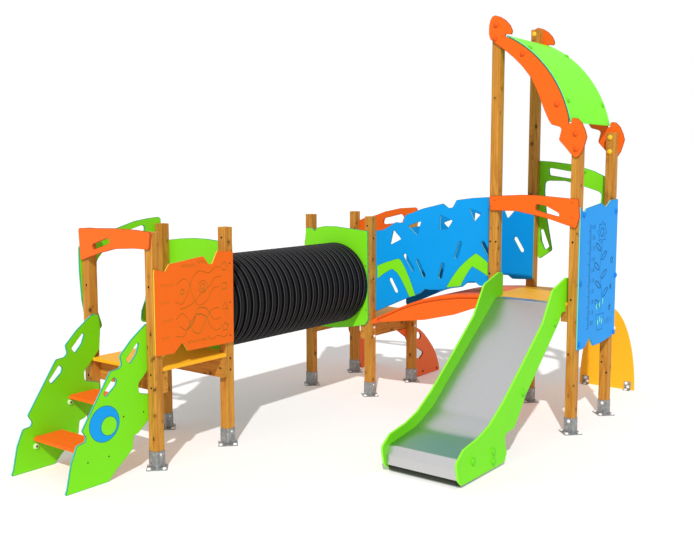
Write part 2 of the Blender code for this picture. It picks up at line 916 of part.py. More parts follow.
def add_slide():
    wall = [
        (3.012, 1.436, 0.02),
        (2.919, 1.451),
        (2.640, 1.365, 0.05),
        (2.452, 1.095, 0.05),
        (2.105, 0.822),
        (1.732, 0.538, 0.1),
        (1.504, 0.400),
        (1.330, 0.343),
        (1.100, 0.305, 0.04),
        (0.985, 0.222, 0.05),
        (1.018, 0.075, 0.05),
        (1.075, 0.026, 0.02),
        (1.780, 0.026, 0.01),
        (1.800, 0.072, 0.01),
        (1.816, 0.097, 0.01),
        (1.802, 0.125, 0.01),
        (1.782, 0.199, 0.02),
        (1.782, 0.262, 0.02),
        (1.935, 0.274, 0.03),
        (2.083, 0.431),
        (2.149, 0.517),
        (2.619, 0.910),
        (2.801, 1.068),
        (2.845, 1.136, 0.02),
        (2.928, 1.136, 0.01),
        (2.928, 1.2206, 0),
        (3.012, 1.2206, 0.01),
    ]
    outer = (SLIDE_X - 0.350, SLIDE_X + 0.350)
    outline = rounded(wall, 0.03)
    board("slide_wall_left", "YZ", (outer[0], outer[0] + PANEL), outline, "green")
    board("slide_wall_right", "YZ", (outer[1] - PANEL, outer[1]), outline, "green")
    bed = rounded(
        [
            (2.9285, 1.2195, 0),
            (2.860, 1.212, 0.06),
            (2.557, 0.985),
            (1.740, 0.388, 0.35),
            (1.480, 0.278, 0.30),
            (1.082, 0.218, 0.035),
            (1.045, 0.148, 0.035),
            (1.052, 0.066, 0),
        ],
        0.05,
        5,
    )
    span = (outer[0] + PANEL + GAP, outer[1] - PANEL - GAP)
    sheet = as_mesh(board("slide_bed", "YZ", span, ribbon(bed[::-1], BED), "steel"))
    # The anchor plate under the run-out, from the floor up into the sheet's underside.
    before, after = next(pair for pair in zip(bed, bed[1:]) if pair[0][0] >= 1.450 > pair[1][0])
    share = (before[0] - 1.450) / (before[0] - after[0])
    height = before[1] + (after[1] - before[1]) * share - BED / 2
    anchor = [
        (SLIDE_X - 0.250, 0.0),
        (SLIDE_X + 0.250, 0.0),
        (SLIDE_X + 0.290, height),
        (SLIDE_X - 0.290, height),
    ]
    plate = board("slide_anchor", "XZ", (1.448, 1.454), anchor, "steel", (), CUTTERS)
    combine(sheet, as_mesh(plate), "UNION")


def add_roof():
    """Two curved side beams, each notched at both ends for the bent sheet that they carry."""
    top = arc(ROOF_CENTRE, ROOF_RADIUS, 64.8, 12.2, 18)
    seat = arc(ROOF_CENTRE, ROOF_RADIUS - ROOF_SHEET - GAP, 64.8, 12.2, 18)
    outline = [
        (1.405, 3.753),
        (1.405, 3.686),
        (1.421, 3.638),
        (1.467, 3.601),
        (1.574, 3.526),
        (1.665, 3.453),
        (1.755, 3.367),
        (1.845, 3.257),
        (1.921, 3.109),
        (1.982, 2.963),
        (2.027, 2.870),
        (2.056, 2.830),
        (2.134, 2.808),
        (2.153, 2.788),
        (2.138, 2.724),
        (2.130, 2.692),
        (2.187, 2.632),
        (2.244, 2.567),
        (2.293, 2.528),
        (2.327, 2.547),
        (2.359, 2.598),
        (2.378, 2.655),
        (2.394, 2.712),
        (2.377, 2.770),
        (2.345, 2.838),
        (2.304, 2.878),
        (2.262, 2.885),
        (2.247, 2.872, 0.004),
        (2.246, 2.838, 0.004),
        (2.222, 2.834, 0.004),
        *seat[1:-1][::-1],
        (1.574, 3.652, 0.004),
        (1.581, 3.673, 0.004),
        (1.640, 3.664, 0.006),
        (1.649, 3.697),
        (1.622, 3.752),
        (1.576, 3.800),
        (1.523, 3.834),
        (1.467, 3.853),
        (1.435, 3.843),
        (1.415, 3.805),
    ]
    board("roof_beam_front", "XZ", front(Y2), rounded(outline, 0.02), "orange")
    board("roof_beam_rear", "XZ", back(Y3), rounded(outline, 0.02), "orange")
    span = (front(Y2)[0], back(Y3)[1])
    board("roof_sheet", "XZ", span, ribbon(top, ROOF_SHEET), "green")


def main():
    add_posts()
    add_feet()
    add_tower_1()
    add_tunnel_panels()
    add_tunnel()
    add_stairs()
    add_tower_2()
    add_climber()
    add_bridge()
    add_tower_3()
    add_rear_ramp()
    add_slide()
    add_roof()


main()
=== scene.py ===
import math
from functools import partial

import bpy
from mathutils import Matrix, Vector


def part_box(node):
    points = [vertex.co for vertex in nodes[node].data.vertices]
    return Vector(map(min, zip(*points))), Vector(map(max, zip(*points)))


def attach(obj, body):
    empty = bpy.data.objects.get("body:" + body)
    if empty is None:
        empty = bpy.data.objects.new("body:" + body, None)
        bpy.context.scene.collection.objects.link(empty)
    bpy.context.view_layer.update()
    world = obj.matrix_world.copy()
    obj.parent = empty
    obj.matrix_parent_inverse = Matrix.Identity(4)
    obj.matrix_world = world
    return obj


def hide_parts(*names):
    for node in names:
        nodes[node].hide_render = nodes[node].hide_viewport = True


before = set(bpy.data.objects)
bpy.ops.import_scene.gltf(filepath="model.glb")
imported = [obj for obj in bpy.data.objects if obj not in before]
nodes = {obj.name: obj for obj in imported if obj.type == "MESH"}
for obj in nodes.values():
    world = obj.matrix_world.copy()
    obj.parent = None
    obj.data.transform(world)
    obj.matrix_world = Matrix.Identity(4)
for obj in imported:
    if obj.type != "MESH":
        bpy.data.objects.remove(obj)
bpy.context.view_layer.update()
print("frame loaded,", len(nodes), "nodes")

# the stairs are at the front, and the blue height panel faces right
front = (0, -1, 0)
back = (0, 1, 0)
left = (-1, 0, 0)
right = (1, 0, 0)
upward = (0, 0, 1)
# a normal or an edge this much along a direction counts as square on
squareOn = 0.9


# Small helpers for modelling by hand


def pick(*objects):
    bpy.ops.object.select_all(action="DESELECT")
    for item in objects:
        item.select_set(True)
    bpy.context.view_layer.objects.active = objects[-1]


def leaveEdit():
    bpy.ops.object.mode_set(mode="OBJECT")


# opens a piece in edit mode with all of it selected, or nothing
def enterEdit(piece, kind="VERT", action="SELECT"):
    pick(piece)
    bpy.ops.object.mode_set(mode="EDIT")
    bpy.ops.mesh.select_mode(type=kind)
    bpy.ops.mesh.select_all(action=action)


# selects faces or edges by their place, and leaves the piece in edit mode
def choose(piece, kind, test):
    enterEdit(piece, kind, "DESELECT")
    leaveEdit()
    mesh = piece.data
    if kind == "FACE":
        for face in mesh.polygons:
            face.select = test(face.center, face.normal)
    else:
        for edge in mesh.edges:
            start, end = (mesh.vertices[index].co for index in edge.vertices)
            edge.select = test((start + end) / 2, (end - start).normalized())
    bpy.ops.object.mode_set(mode="EDIT")


def bevelSelected(size, segments, slide=True):
    bpy.ops.mesh.bevel(offset=size, segments=segments, affect="EDGES", loop_slide=slide)
    leaveEdit()


def pullOut(offset):
    bpy.ops.mesh.extrude_region_move(TRANSFORM_OT_translate={"value": offset})


# keeps a shape's upper half, brings it to size and moves it
def upperHalf(size, move, filled):
    bpy.ops.mesh.bisect(plane_co=(0, 0, 0.0001), plane_no=upward, clear_inner=True, use_fill=filled)
    bpy.ops.mesh.select_all(action="SELECT")
    bpy.ops.transform.resize(value=size, center_override=(0, 0, 0))
    bpy.ops.transform.translate(value=move)


# turns the faces of a whole shape outwards
def faceOutwards():
    bpy.ops.mesh.select_all(action="SELECT")
    bpy.ops.mesh.normals_make_consistent(inside=False)
    leaveEdit()


def placeIntoMesh():
    bpy.ops.object.transform_apply(location=True, rotation=True, scale=True)


def applyModifier(piece, kind, **settings):
    modifier = piece.modifiers.new(kind.lower(), kind)
    for name, value in settings.items():
        setattr(modifier, name, value)
    pick(piece)
    bpy.ops.object.modifier_apply(modifier=modifier.name)


def newObject(name, data):
    thing = bpy.data.objects.new(name, data)
    bpy.context.scene.collection.objects.link(thing)
    return thing


# a primitive of unit size, brought to its place and size
def addBlock(name, middle, size, turn=0, primitive=bpy.ops.mesh.primitive_cube_add):
    primitive(size=1, location=middle, rotation=(0, 0, turn))
    block = bpy.context.active_object
    block.name = name
    block.scale = size
    placeIntoMesh()
    return block


# a copy of a CAD node with its loose triangles merged into clean faces
def mergedCopy(node, apart=0.00002, flatTo=0.4):
    first, *rest = node.split("_")
    piece = newObject(first + "".join(word.capitalize() for word in rest), nodes[node].data.copy())
    piece.data.materials.clear()
    enterEdit(piece)
    bpy.ops.mesh.remove_doubles(threshold=apart)
    bpy.ops.mesh.dissolve_limited(angle_limit=math.radians(flatTo))
    leaveEdit()
    return piece


# rounds every edge sharper than the angle, apart from the edges of the spared layer
def roundEdges(piece, size, segments=2, sharper=75, spared=-1):
    enterEdit(piece, "EDGE", "DESELECT")
    bpy.ops.mesh.edges_select_sharp(sharpness=math.radians(sharper))
    leaveEdit()
    kept = {key for face in piece.data.polygons if face.material_index == spared for key in face.edge_keys}
    for edge in piece.data.edges:
        if edge.key in kept:
            edge.select = False
    bpy.ops.object.mode_set(mode="EDIT")
    bevelSelected(size, segments, slide=False)


# gives each face of a piece the material that the test picks by place and normal
def paint(piece, materials, test=None):
    piece.data.materials.clear()
    for material in materials:
        piece.data.materials.append(material)
    for face in piece.data.polygons:
        face.material_index = test(face.center, face.normal) if test else 0


# a finished piece: its place goes into its mesh, its flat faces shade flat up to their
# rims, and it rides on the structure
def finishPiece(piece, replaced=(), smooth=40):
    pick(piece)
    placeIntoMesh()
    bpy.ops.object.shade_smooth_by_angle(angle=math.radians(smooth))
    applyModifier(piece, "WEIGHTED_NORMAL", keep_sharp=True, weight=100)
    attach(piece, "root")
    if replaced:
        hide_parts(*replaced)
    return piece


# a CAD node with rounded edges in its real materials
def dressNode(node, rim, segments, materials, test=None):
    piece = mergedCopy(node)
    roundEdges(piece, rim, segments)
    paint(piece, materials, test)
    return finishPiece(piece, [node])


def cutWith(piece, cutter):
    applyModifier(piece, "BOOLEAN", operation="DIFFERENCE", object=cutter, solver="EXACT")
    bpy.data.objects.remove(cutter, do_unlink=True)


def joined(pieces, name):
    pick(*pieces)
    placeIntoMesh()
    if len(pieces) > 1:
        bpy.ops.object.join()
    whole = bpy.context.active_object
    whole.name = name
    return whole


# a round tube along each line, all in one mesh; a line that ends where it starts is closed
def tubesAlong(name, lines, radius, resolution, touching=0.001, apart=0.00001):
    tubes = []
    for points in lines:
        curve = bpy.data.curves.new(name, "CURVE")
        curve.dimensions = "3D"
        curve.bevel_depth = radius
        curve.bevel_resolution = resolution
        curve.use_fill_caps = True
        closed = (Vector(points[0]) - Vector(points[-1])).length < touching
        line = points[:-1] if closed else points
        spline = curve.splines.new("POLY")
        spline.points.add(len(line) - 1)
        for point, place in zip(spline.points, line):
            point.co = (*place, 1)
        spline.use_cyclic_u = closed
        tubes.append(newObject(name, curve))
    pick(*tubes)
    bpy.ops.object.convert(target="MESH")
    whole = joined(list(bpy.context.selected_objects), name)
    enterEdit(whole)
    bpy.ops.mesh.remove_doubles(threshold=apart)
    faceOutwards()
    return whole


# what turns +Z to the given direction
def facing(outward):
    return Vector(outward).to_track_quat("Z", "Y").to_matrix().to_4x4()


def cornersOf(node):
    return [Vector(corner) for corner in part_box(node)]


# Materials


# sRGB hex to the linear values that the shader reads
def linear(hexColour):
    values = [int(hexColour[index : index + 2], 16) / 255 for index in (1, 3, 5)]
    return [v / 12.92 if v <= 0.04045 else ((v + 0.055) / 1.055) ** 2.4 for v in values] + [1]


# each input is a value, the socket that feeds it, or the node whose first output does
def feed(node, inputs):
    for socket, value in inputs.items():
        if isinstance(value, bpy.types.Node):
            value = value.outputs[0]
        if isinstance(value, bpy.types.NodeSocket):
            node.id_data.links.new(value, node.inputs[socket])
        else:
            node.inputs[socket].default_value = value


# adds one node with its inputs and settings
def addNode(tree, kind, inputs, **settings):
    node = tree.nodes.new("ShaderNode" + kind)
    for name, value in settings.items():
        setattr(node, name, value)
    feed(node, inputs)
    return node


# a material, what adds a node to it, and its shader
def newMaterial(name):
    material = bpy.data.materials.new(name)
    material.use_nodes = True
    tree = material.node_tree
    return material, partial(addNode, tree), tree.nodes["Principled BSDF"]


# polyethylene sheet: an even colour with a soft sheen and a fine pressed grain.
# The real grain is 1 mm; it is drawn at 4 mm so that it shows.
def boardPlastic(name, colour, roughness=0.5, sheen=0.18, grain=250):
    material, add, shader = newMaterial(name)
    place = add("TexCoord", {}).outputs["Object"]
    cloud = add("TexNoise", {"Vector": place, "Scale": 2.2, "Detail": 3})
    tone = add("MapRange", {0: cloud, 3: 0.95, 4: 1.05})
    tint = add("VectorMath", {0: linear(colour)[:3], "Scale": tone}, operation="SCALE")
    pebble = add("TexNoise", {"Vector": place, "Scale": grain, "Detail": 2})
    bump = add("Bump", {"Strength": 0.1, "Distance": 0.0006, "Height": pebble})
    gloss = add("MapRange", {0: cloud, 3: roughness - 0.06, 4: roughness + 0.08})
    feed(shader, {"Base Color": tint, "Roughness": gloss, "Normal": bump})
    feed(shader, {"IOR": 1.54, "Specular IOR Level": sheen})
    return material


# the cut edge of the sheet, where its core layer shows, with fine router marks
def boardCore(name, colour):
    material, add, shader = newMaterial(name)
    place = add("TexCoord", {}).outputs["Object"]
    marks = add("TexNoise", {"Vector": place, "Scale": 420, "Detail": 1})
    tone = add("MapRange", {0: marks, 3: 0.88, 4: 1.06})
    tint = add("VectorMath", {0: linear(colour)[:3], "Scale": tone}, operation="SCALE")
    bump = add("Bump", {"Strength": 0.15, "Distance": 0.0005, "Height": marks})
    feed(shader, {"Base Color": tint, "Roughness": 0.6, "Normal": bump})
    feed(shader, {"IOR": 1.54, "Specular IOR Level": 0.15})
    return material


# laminated pine with a clear stain: growth rings drawn out along the grain, 30 mm
# lamellae of slightly different tone with a dark glue line between them, and dark
# knots of 6 to 30 mm in a warm halo
def timber(name, along):
    material, add, shader = newMaterial(name)
    place = add("TexCoord", {}).outputs["Object"]
    drawn = [1, 1, 1]
    drawn[along] = 0.06
    grain = add("Mapping", {"Vector": place, "Scale": drawn})
    swirl = add("TexNoise", {"Vector": grain, "Scale": 11, "Detail": 3, "Distortion": 0.5})
    ringCount = add("Math", {0: swirl, 1: 16}, operation="MULTIPLY")
    rings = add("Math", {0: ringCount, 1: 1}, operation="PINGPONG")
    body = add("Mix", {0: rings, 6: linear("#CF9339"), 7: linear("#B87729")}, data_type="RGBA")
    fibre = add("TexNoise", {"Vector": grain, "Scale": 240, "Detail": 4})
    fibreTone = add("MapRange", {0: fibre, 1: 0.3, 2: 0.7, 3: 0.86, 4: 1.09})

    strips = (0.03, 0.2711, 50) if along != 0 else (50, 0.03, 50)
    lamella = add("VectorMath", {0: place, 1: strips}, operation="SNAP")
    shade = add("TexWhiteNoise", {"Vector": lamella})
    tone = add("MapRange", {0: shade, 3: 0.9, 4: 1.08})
    across = add("SeparateXYZ", {0: place}).outputs[0 if along != 0 else 1]
    glue = add("Math", {0: across, 1: 0.015}, operation="PINGPONG")
    glueLine = add("MapRange", {0: glue, 1: 0.0004, 2: 0.0014, 3: 0.72, 4: 1})

    squashed = [1, 1, 1]
    squashed[along] = 0.72
    spots = add("Mapping", {"Vector": place, "Scale": squashed})
    wobble = add("TexNoise", {"Vector": place, "Scale": 52, "Detail": 1}).outputs["Color"]
    bent = add("VectorMath", {0: wobble, 1: (0.022, 0.022, 0.022), 2: spots}, operation="MULTIPLY_ADD")
    knots = add("TexVoronoi", {"Vector": bent, "Scale": 12})
    knotSize = add("MapRange", {0: knots.outputs["Color"], 3: 0.22, 4: 1.22})
    sized = add("Math", {0: knots, 1: knotSize}, operation="DIVIDE")
    coreRange = {0: sized, 1: 0.11, 2: 0.19, 3: 0.85, 4: 0}
    core = add("MapRange", coreRange, interpolation_type="SMOOTHSTEP")
    haloRange = {0: sized, 1: 0.15, 2: 0.4, 3: 0.55, 4: 0}
    halo = add("MapRange", haloRange, interpolation_type="SMOOTHSTEP")

    both = add("Math", {0: tone, 1: fibreTone}, operation="MULTIPLY")
    lined = add("Math", {0: both, 1: glueLine}, operation="MULTIPLY")
    toned = add("VectorMath", {0: body.outputs[2], "Scale": lined}, operation="SCALE")
    ringed = add("Mix", {0: halo, 6: toned, 7: linear("#8C5A1E")}, data_type="RGBA")
    knotted = add("Mix", {0: core, 6: ringed.outputs[2], 7: linear("#452810")}, data_type="RGBA")
    height = add("Math", {0: fibre, 1: core}, operation="SUBTRACT")
    bump = add("Bump", {"Strength": 0.35, "Distance": 0.0008, "Height": height})
    gloss = add("MapRange", {0: fibre, 3: 0.5, 4: 0.68})
    feed(shader, {"Base Color": knotted.outputs[2], "Roughness": gloss, "Normal": bump})
    feed(shader, {"IOR": 1.5, "Specular IOR Level": 0.2})
    return material


# hot-dip zinc: dull grey with a spangle of 10 mm crystals and duller clouds
def galvanisedSteel(name):
    material, add, shader = newMaterial(name)
    place = add("TexCoord", {}).outputs["Object"]
    spangle = add("TexVoronoi", {"Vector": place, "Scale": 95}).outputs["Color"]
    cloud = add("TexNoise", {"Vector": place, "Scale": 26, "Detail": 4})
    mixed = add("Mix", {0: spangle, 6: linear("#7A7D7F"), 7: linear("#ADB0B1")}, data_type="RGBA")
    tone = add("MapRange", {0: cloud, 1: 0.3, 2: 0.7, 3: 0.78, 4: 1.15})
    tint = add("VectorMath", {0: mixed.outputs[2], "Scale": tone}, operation="SCALE")
    gloss = add("MapRange", {0: spangle, 3: 0.42, 4: 0.64})
    bump = add("Bump", {"Strength": 0.2, "Distance": 0.0005, "Height": cloud})
    feed(shader, {"Base Color": tint, "Roughness": gloss, "Normal": bump, "Metallic": 0.6})
    return material


# stainless sheet, brushed along the slide: fine scratches stretch the highlight. They are
# drawn 1.4 mm wide so that they show. Near the ground the sheet may take a second, darker
# and greener tint, a painted reflection of the green walls there.
def brushedStainless(name, dark="#B6B6B8", light="#C9C9CB", low=None):
    material, add, shader = newMaterial(name)
    place = add("TexCoord", {}).outputs["Object"]
    drawn = add("Mapping", {"Vector": place, "Scale": (1, 0.01, 0.01)})
    brushing = add("TexNoise", {"Vector": drawn, "Scale": 700, "Detail": 3})
    tone = add("Mix", {0: brushing, 6: linear(dark), 7: linear(light)}, data_type="RGBA")
    # the painted reflection: a second tint that fades in towards the ground
    if low:
        height = add("SeparateXYZ", {0: place}).outputs[2]
        fade = {0: height, 1: 0.22, 2: 0.33, 3: 1, 4: 0}
        share = add("MapRange", fade, interpolation_type="SMOOTHSTEP")
        tone = add("Mix", {0: share, 6: tone.outputs[2], 7: linear(low)}, data_type="RGBA")
    gloss = add("MapRange", {0: brushing, 3: 0.26, 4: 0.4})
    bump = add("Bump", {"Strength": 0.05, "Distance": 0.0003, "Height": brushing})
    feed(shader, {"Base Color": tone.outputs[2], "Roughness": gloss, "Normal": bump, "Metallic": 1})
    return material


# each sheet colour: its skin and, where they show, its cut edge and the rim between them
sheetColours = {
    "green": ("#80E41D", "#4FBE8E", "#2C8A5C"),
    "stairGreen": ("#7BDF15", "#4CC8B4", "#1F7E66"),
    # the slide walls' edges in a lighter green, a painted highlight on their tops; slideShade, for the
    # walls' inner faces, is painted shade
    "slideGreen": ("#76E011", "#92F23A"),
    "slideShade": ("#6ACD0D",),
    # the roof sheet's rim colour is a painted highlight on its upward chamfers
    "roofGreen": ("#7AF023", "#28505F", "#7CE6CE"),
    "orange": ("#F36713", "#D8551A", "#963C10"),
    "playOrange": ("#F26A10", "#F0C838", "#C9681C"),
    "deckOrange": ("#FF6A1C",),
    "redOrange": ("#FF783C", "#C4471F", "#8E3214"),
    "blue": ("#009BEB", "#7FD8D0", "#126A9C"),
    "sideBlue": ("#0095EA", "#7FD8D0", "#126A9C"),
    "yellow": ("#FFB624",),
}
# each sheet colour's materials: its skin, then its cut edge and rim where given
sheets = {}
for colourName, (skin, *edges) in sheetColours.items():
    sheets[colourName] = [boardPlastic(colourName + "SheetSkin", skin)]
    for layer, edge in zip(("SheetCore", "SheetBurr"), edges):
        sheets[colourName].append(boardCore(colourName + layer, edge))
skins = {colourName: layers[0] for colourName, layers in sheets.items()}
pine = [timber("pineAlong" + letter, axis) for axis, letter in enumerate("XYZ")]
zinc = galvanisedSteel("hotDipZinc")
# the bed's sheet, with the painted reflection of the green walls near the ground
stainless = brushedStainless("brushedStainless", low="#9DB697")
# the lip: the same stainless painted lighter, a painted highlight
lipHighlight = brushedStainless("polishedLip", "#C0C0C2", "#D2D2D3")
# the tunnel's plastic: plain, paler as a painted highlight, and near black as painted shade
pipePlastic = boardPlastic("blackPipePolyethylene", "#1F1E20", roughness=0.55, grain=120, sheen=0.1)
pipeHighlight = boardPlastic("dustyPipePolyethylene", "#3A393C", roughness=0.62, grain=120, sheen=0.1)
pipeShade = boardPlastic("shadedPipePolyethylene", "#060607", roughness=0.8, grain=120, sheen=0.04)
playGroove = boardCore("playPanelGroove", "#B07A1E")
heightGroove = boardCore("heightPanelGroove", "#0A4A86")
paleCore = boardPlastic("paleGreenInlay", "#7CF2BE")
inlayJoint = boardCore("inlayJoint", "#167A8C")
# the dark orange of the shadow line over the crescents, painted shade
deckShadowLine = boardCore("crescentLedge", "#C8480F")
# the caps: name, colour and, where they differ, roughness and sheen
capLooks = {
    "white": ("whiteNylonCap", "#EDEDEA", 0.35, 0.4),
    "yellow": ("yellowNylonCap", "#F8C21E", 0.35, 0.4),
    "green": ("greenNylonCap", "#66CC1C", 0.42),
    "orange": ("orangeNylonCap", "#E65A12"),
    "red": ("redNylonCap", "#A83A20", 0.42),
    "blue": ("blueNylonCap", "#0C78D4", 0.42),
    "pale": ("paleNylonCap", "#C6EFA8", 0.35, 0.4),
    # the dark bolt colour also fills the post recesses as painted shade
    "dark": ("darkSteelBolt", "#2A2622", 0.45),
}
capPlastic = {colour: boardPlastic(*look) for colour, look in capLooks.items()}
print("materials made")


# Boards

board = {
    "rim": 0.0035,
    "skinAbove": 0.97,
    "edgeBelow": 0.2,
    "grooveLayer": 3,
    "grooveSunk": 0.0007,
}


# a groove of round section along each line, its inside in the piece's last material
def engrave(piece, lines, radius):
    sunk = [[(x - board["grooveSunk"], y, z) for x, y, z in line] for line in lines]
    cutter = tubesAlong("grooves", sunk, radius, 1)
    layers = list(piece.data.materials)
    paint(cutter, layers, lambda place, normal: len(layers) - 1)
    cutWith(piece, cutter)


# a cut sheet: grooves, a small chamfer on its rims, skin on its faces, core on its edges.
# The axis through its thickness tells faces from edges.
def dressBoard(node, plastic, through, groove=None, engravings=()):
    piece = mergedCopy(node)
    paint(piece, sheets[plastic] + ([groove] if groove else []))
    for lines, radius in engravings:
        engrave(piece, lines, radius)
    roundEdges(piece, board["rim"], spared=board["grooveLayer"])
    for face in piece.data.polygons:
        flat = abs(face.normal[through])
        if face.material_index != board["grooveLayer"]:
            face.material_index = 0 if flat > board["skinAbove"] else 1 if flat < board["edgeBelow"] else 2
    return finishPiece(piece, [node])


# a smooth curve through the points
def smoothLine(points, steps):
    vectors = [Vector(point) for point in points]
    padded = [vectors[0] * 2 - vectors[1]] + vectors + [vectors[-1] * 2 - vectors[-2]]
    line = []
    for index in range(1, len(padded) - 2):
        p0, p1, p2, p3 = padded[index - 1 : index + 3]
        for step in range(steps):
            t = step / steps
            rise = (p2 - p0) * t + (p0 * 2 - p1 * 5 + p2 * 4 - p3) * t**2
            line.append((p1 * 2 + rise + (p1 * 3 - p0 - p2 * 3 + p3) * t**3) / 2)
    return line + [vectors[-1]]


# the lines below stand upright at x: their points are a distance across and a height


# a closed line round a point; its radius is one number, or a list with one for each step
def ringLine(x, across, up, radius, squash=1, sides=36, turn=0):
    radii = radius if isinstance(radius, list) else [radius] * sides
    points = []
    for step in range(len(radii) + 1):
        angle = turn + 2 * math.pi * step / len(radii)
        reach = radii[step % len(radii)]
        points.append((x, across + reach * math.cos(angle), up + reach * squash * math.sin(angle)))
    return points


def starLine(x, across, up, inner, outer):
    return ringLine(x, across, up, [outer, inner] * 5, turn=math.pi / 2)


def waveLine(x, start, end, middle, count, high=0.012):
    points = []
    for step in range(count * 8 + 1):
        share = step / (count * 8)
        up = middle + high * math.sin(2 * math.pi * count * share)
        points.append((x, start + (end - start) * share, up))
    return points


# node: sheet colour, axis through the thickness
plainBoards = {
    "tower_1_handle_panel": ("orange", 1),
    "tower_1_doorway_panel": ("green", 0),
    "tower_1_tunnel_panel": ("green", 1),
    "tower_2_tunnel_panel": ("green", 1),
    "tower_2_handle_panel": ("orange", 1),
    "tower_2_barrier_panel": ("orange", 0),
    "climber_plate_left": ("redOrange", 0),
    "climber_plate_right": ("redOrange", 0),
    "tower_3_handle_panel": ("orange", 1),
    "tower_3_doorway_panel": ("green", 1),
    "bridge_panel_front": ("blue", 1),
    "bridge_panel_rear": ("blue", 1),
    "stair_plate_left": ("stairGreen", 0),
    "stair_plate_right": ("stairGreen", 0),
    "roof_beam_front": ("orange", 1),
    "roof_beam_rear": ("orange", 1),
}
for node, (plastic, through) in plainBoards.items():
    dressBoard(node, plastic, through)
print("plain boards dressed")

# the play panel: seven tracks to follow with a finger, rows of tally marks on the left,
# a ring, a square, a triangle and a star on the right, and small waves above and below
playPanel = {
    "x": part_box("tower_1_play_panel")[1][0],
    "groove": 0.0028,
    "tracks": [
        [(0.19, 1.5), (0.27, 1.535), (0.34, 1.48), (0.37, 1.38)]
        + [(0.43, 1.3), (0.53, 1.33), (0.6, 1.42), (0.67, 1.43)],
        [(0.17, 1.36), (0.24, 1.33), (0.3, 1.39), (0.36, 1.52)]
        + [(0.44, 1.585), (0.55, 1.56), (0.62, 1.6), (0.68, 1.6)],
        [(0.18, 1.21), (0.25, 1.25), (0.32, 1.18), (0.36, 1.09)]
        + [(0.44, 1.06), (0.5, 1.14), (0.58, 1.24), (0.67, 1.25)],
        [(0.17, 1.07), (0.26, 1.06), (0.31, 1.13), (0.4, 1.22)]
        + [(0.5, 1.2), (0.56, 1.11), (0.62, 1.06), (0.68, 1.07)],
        [(0.22, 1.29), (0.3, 1.3), (0.38, 1.33), (0.46, 1.395)]
        + [(0.56, 1.45), (0.62, 1.51), (0.7, 1.52)],
        [(0.21, 1.15), (0.29, 1.11), (0.37, 1.16), (0.42, 1.27)]
        + [(0.52, 1.26), (0.6, 1.16), (0.69, 1.16)],
        [(0.53, 1.02), (0.58, 0.985), (0.65, 1.01), (0.72, 0.985), (0.78, 1.01)],
    ],
    "goals": [
        (0.735, 1.6, 0.036, 1, 36, math.pi / 2),
        (0.735, 1.43, 0.04, 1, 4, math.pi / 4),
        (0.735, 1.25, 0.044, 1, 3, math.pi / 2),
    ],
    "star": (0.74, 1.075, 0.026, 0.048),
    "tallies": [(0.03, 1.5, 6), (0.03, 1.36, 4), (0.03, 1.21, 5), (0.03, 1.07, 4)],
    "tallyStep": 0.024,
    "tallyLean": 0.004,
    "tallyReach": (-0.011, 0.013),
    "waves": [(0.24, 0.4, 1.64, 5), (0.42, 0.55, 1.66, 4), (0.3, 0.52, 1, 6)],
    "loops": [(0.48, 1.45, 0.05), (0.48, 1.45, 0.026), (0.25, 1.43, 0.022)],
    "bolts": [(0.8, 1.62), (0.8, 1.28), (0.8, 0.99)],
}
playX = playPanel["x"]
tracks = [[(playX, *point) for point in smoothLine(track, 7)] for track in playPanel["tracks"]]
marks = []
tallyLow, tallyHigh = playPanel["tallyReach"]
for across, up, count in playPanel["tallies"]:
    for stroke in range(count):
        at = across + playPanel["tallyStep"] * stroke
        marks.append([(playX, at, up + tallyLow), (playX, at + playPanel["tallyLean"], up + tallyHigh)])
marks += [ringLine(playX, *goal) for goal in playPanel["goals"]]
marks.append(starLine(playX, *playPanel["star"]))
marks += [waveLine(playX, *wave) for wave in playPanel["waves"]]
marks += [ringLine(playX, *loop) for loop in playPanel["loops"]]
# tracks that cross are cut one after the other
groups = [tracks[:1] + marks] + [[track] for track in tracks[1:]]
engravings = [(group, playPanel["groove"]) for group in groups]
dressBoard("tower_1_play_panel", "playOrange", 0, playGroove, engravings)

# the height panel: a measuring scale of close ticks with figures in centimetres above
# the ground, a tall flower in a pot, small stars, and blades of grass beside the pot.
# Lines of one group may touch end to end but never overlap.
heightPanel = {
    "x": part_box("tower_3_side_panel")[1][0],
    "scaleGroove": 0.00312,
    "figureGroove": 0.0021,
    "plantGroove": 0.0039,
    "scaleAt": 3.165,
    "scaleFrom": 0.96,
    "scaleTo": 1.92,
    "markStep": 0.02,
    "marks": {"long": 0.055, "short": 0.03, "gap": 0.006, "tilt": 0.0007, "railTilt": 0.001},
    "figure": {"width": 0.018, "half": 0.017, "from": 0.016, "apart": 1.8},
    "stem": {"at": 3.44, "sway": 0.03, "bends": 7, "low": 1.08, "high": 1.72},
    "leaf": {"count": 7, "reach": 0.083, "half": 0.066, "width": 0.026, "rise": 0.45},
    "flower": {"at": 3.44, "up": 1.84, "inner": 0.04, "outer": 0.105, "petals": 8, "notch": 0.16},
    "blades": {"count": 5, "at": 3.575, "low": 0.95, "apart": 0.034, "short": 0.04, "longer": 0.014},
    "bladeBend": [(0, 0), (0.004, 0.6), (0.01, 1)],
    "pot": [(3.34, 1.06), (3.54, 1.06), (3.5, 0.91), (3.38, 0.91), (3.34, 1.06)],
    "stars": [(3.7, 1.56, 0.018, 0.04), (3.69, 1.3, 0.014, 0.03), (3.68, 1.1, 0.016, 0.036)],
    "patches": [(3.355, 1.14), (3.425, 1.15), (3.5, 1.18), (3.39, 0.985), (3.44, 1.01), (3.49, 0.985)],
    "patch": {"radius": 0.012, "squash": 2.6, "proud": 0.0008, "joint": 0.001},
}
heightX = heightPanel["x"]


def stemPoint(share, stem=heightPanel["stem"]):
    across = stem["at"] + stem["sway"] * math.sin(stem["bends"] * share)
    return across, stem["low"] + (stem["high"] - stem["low"]) * share


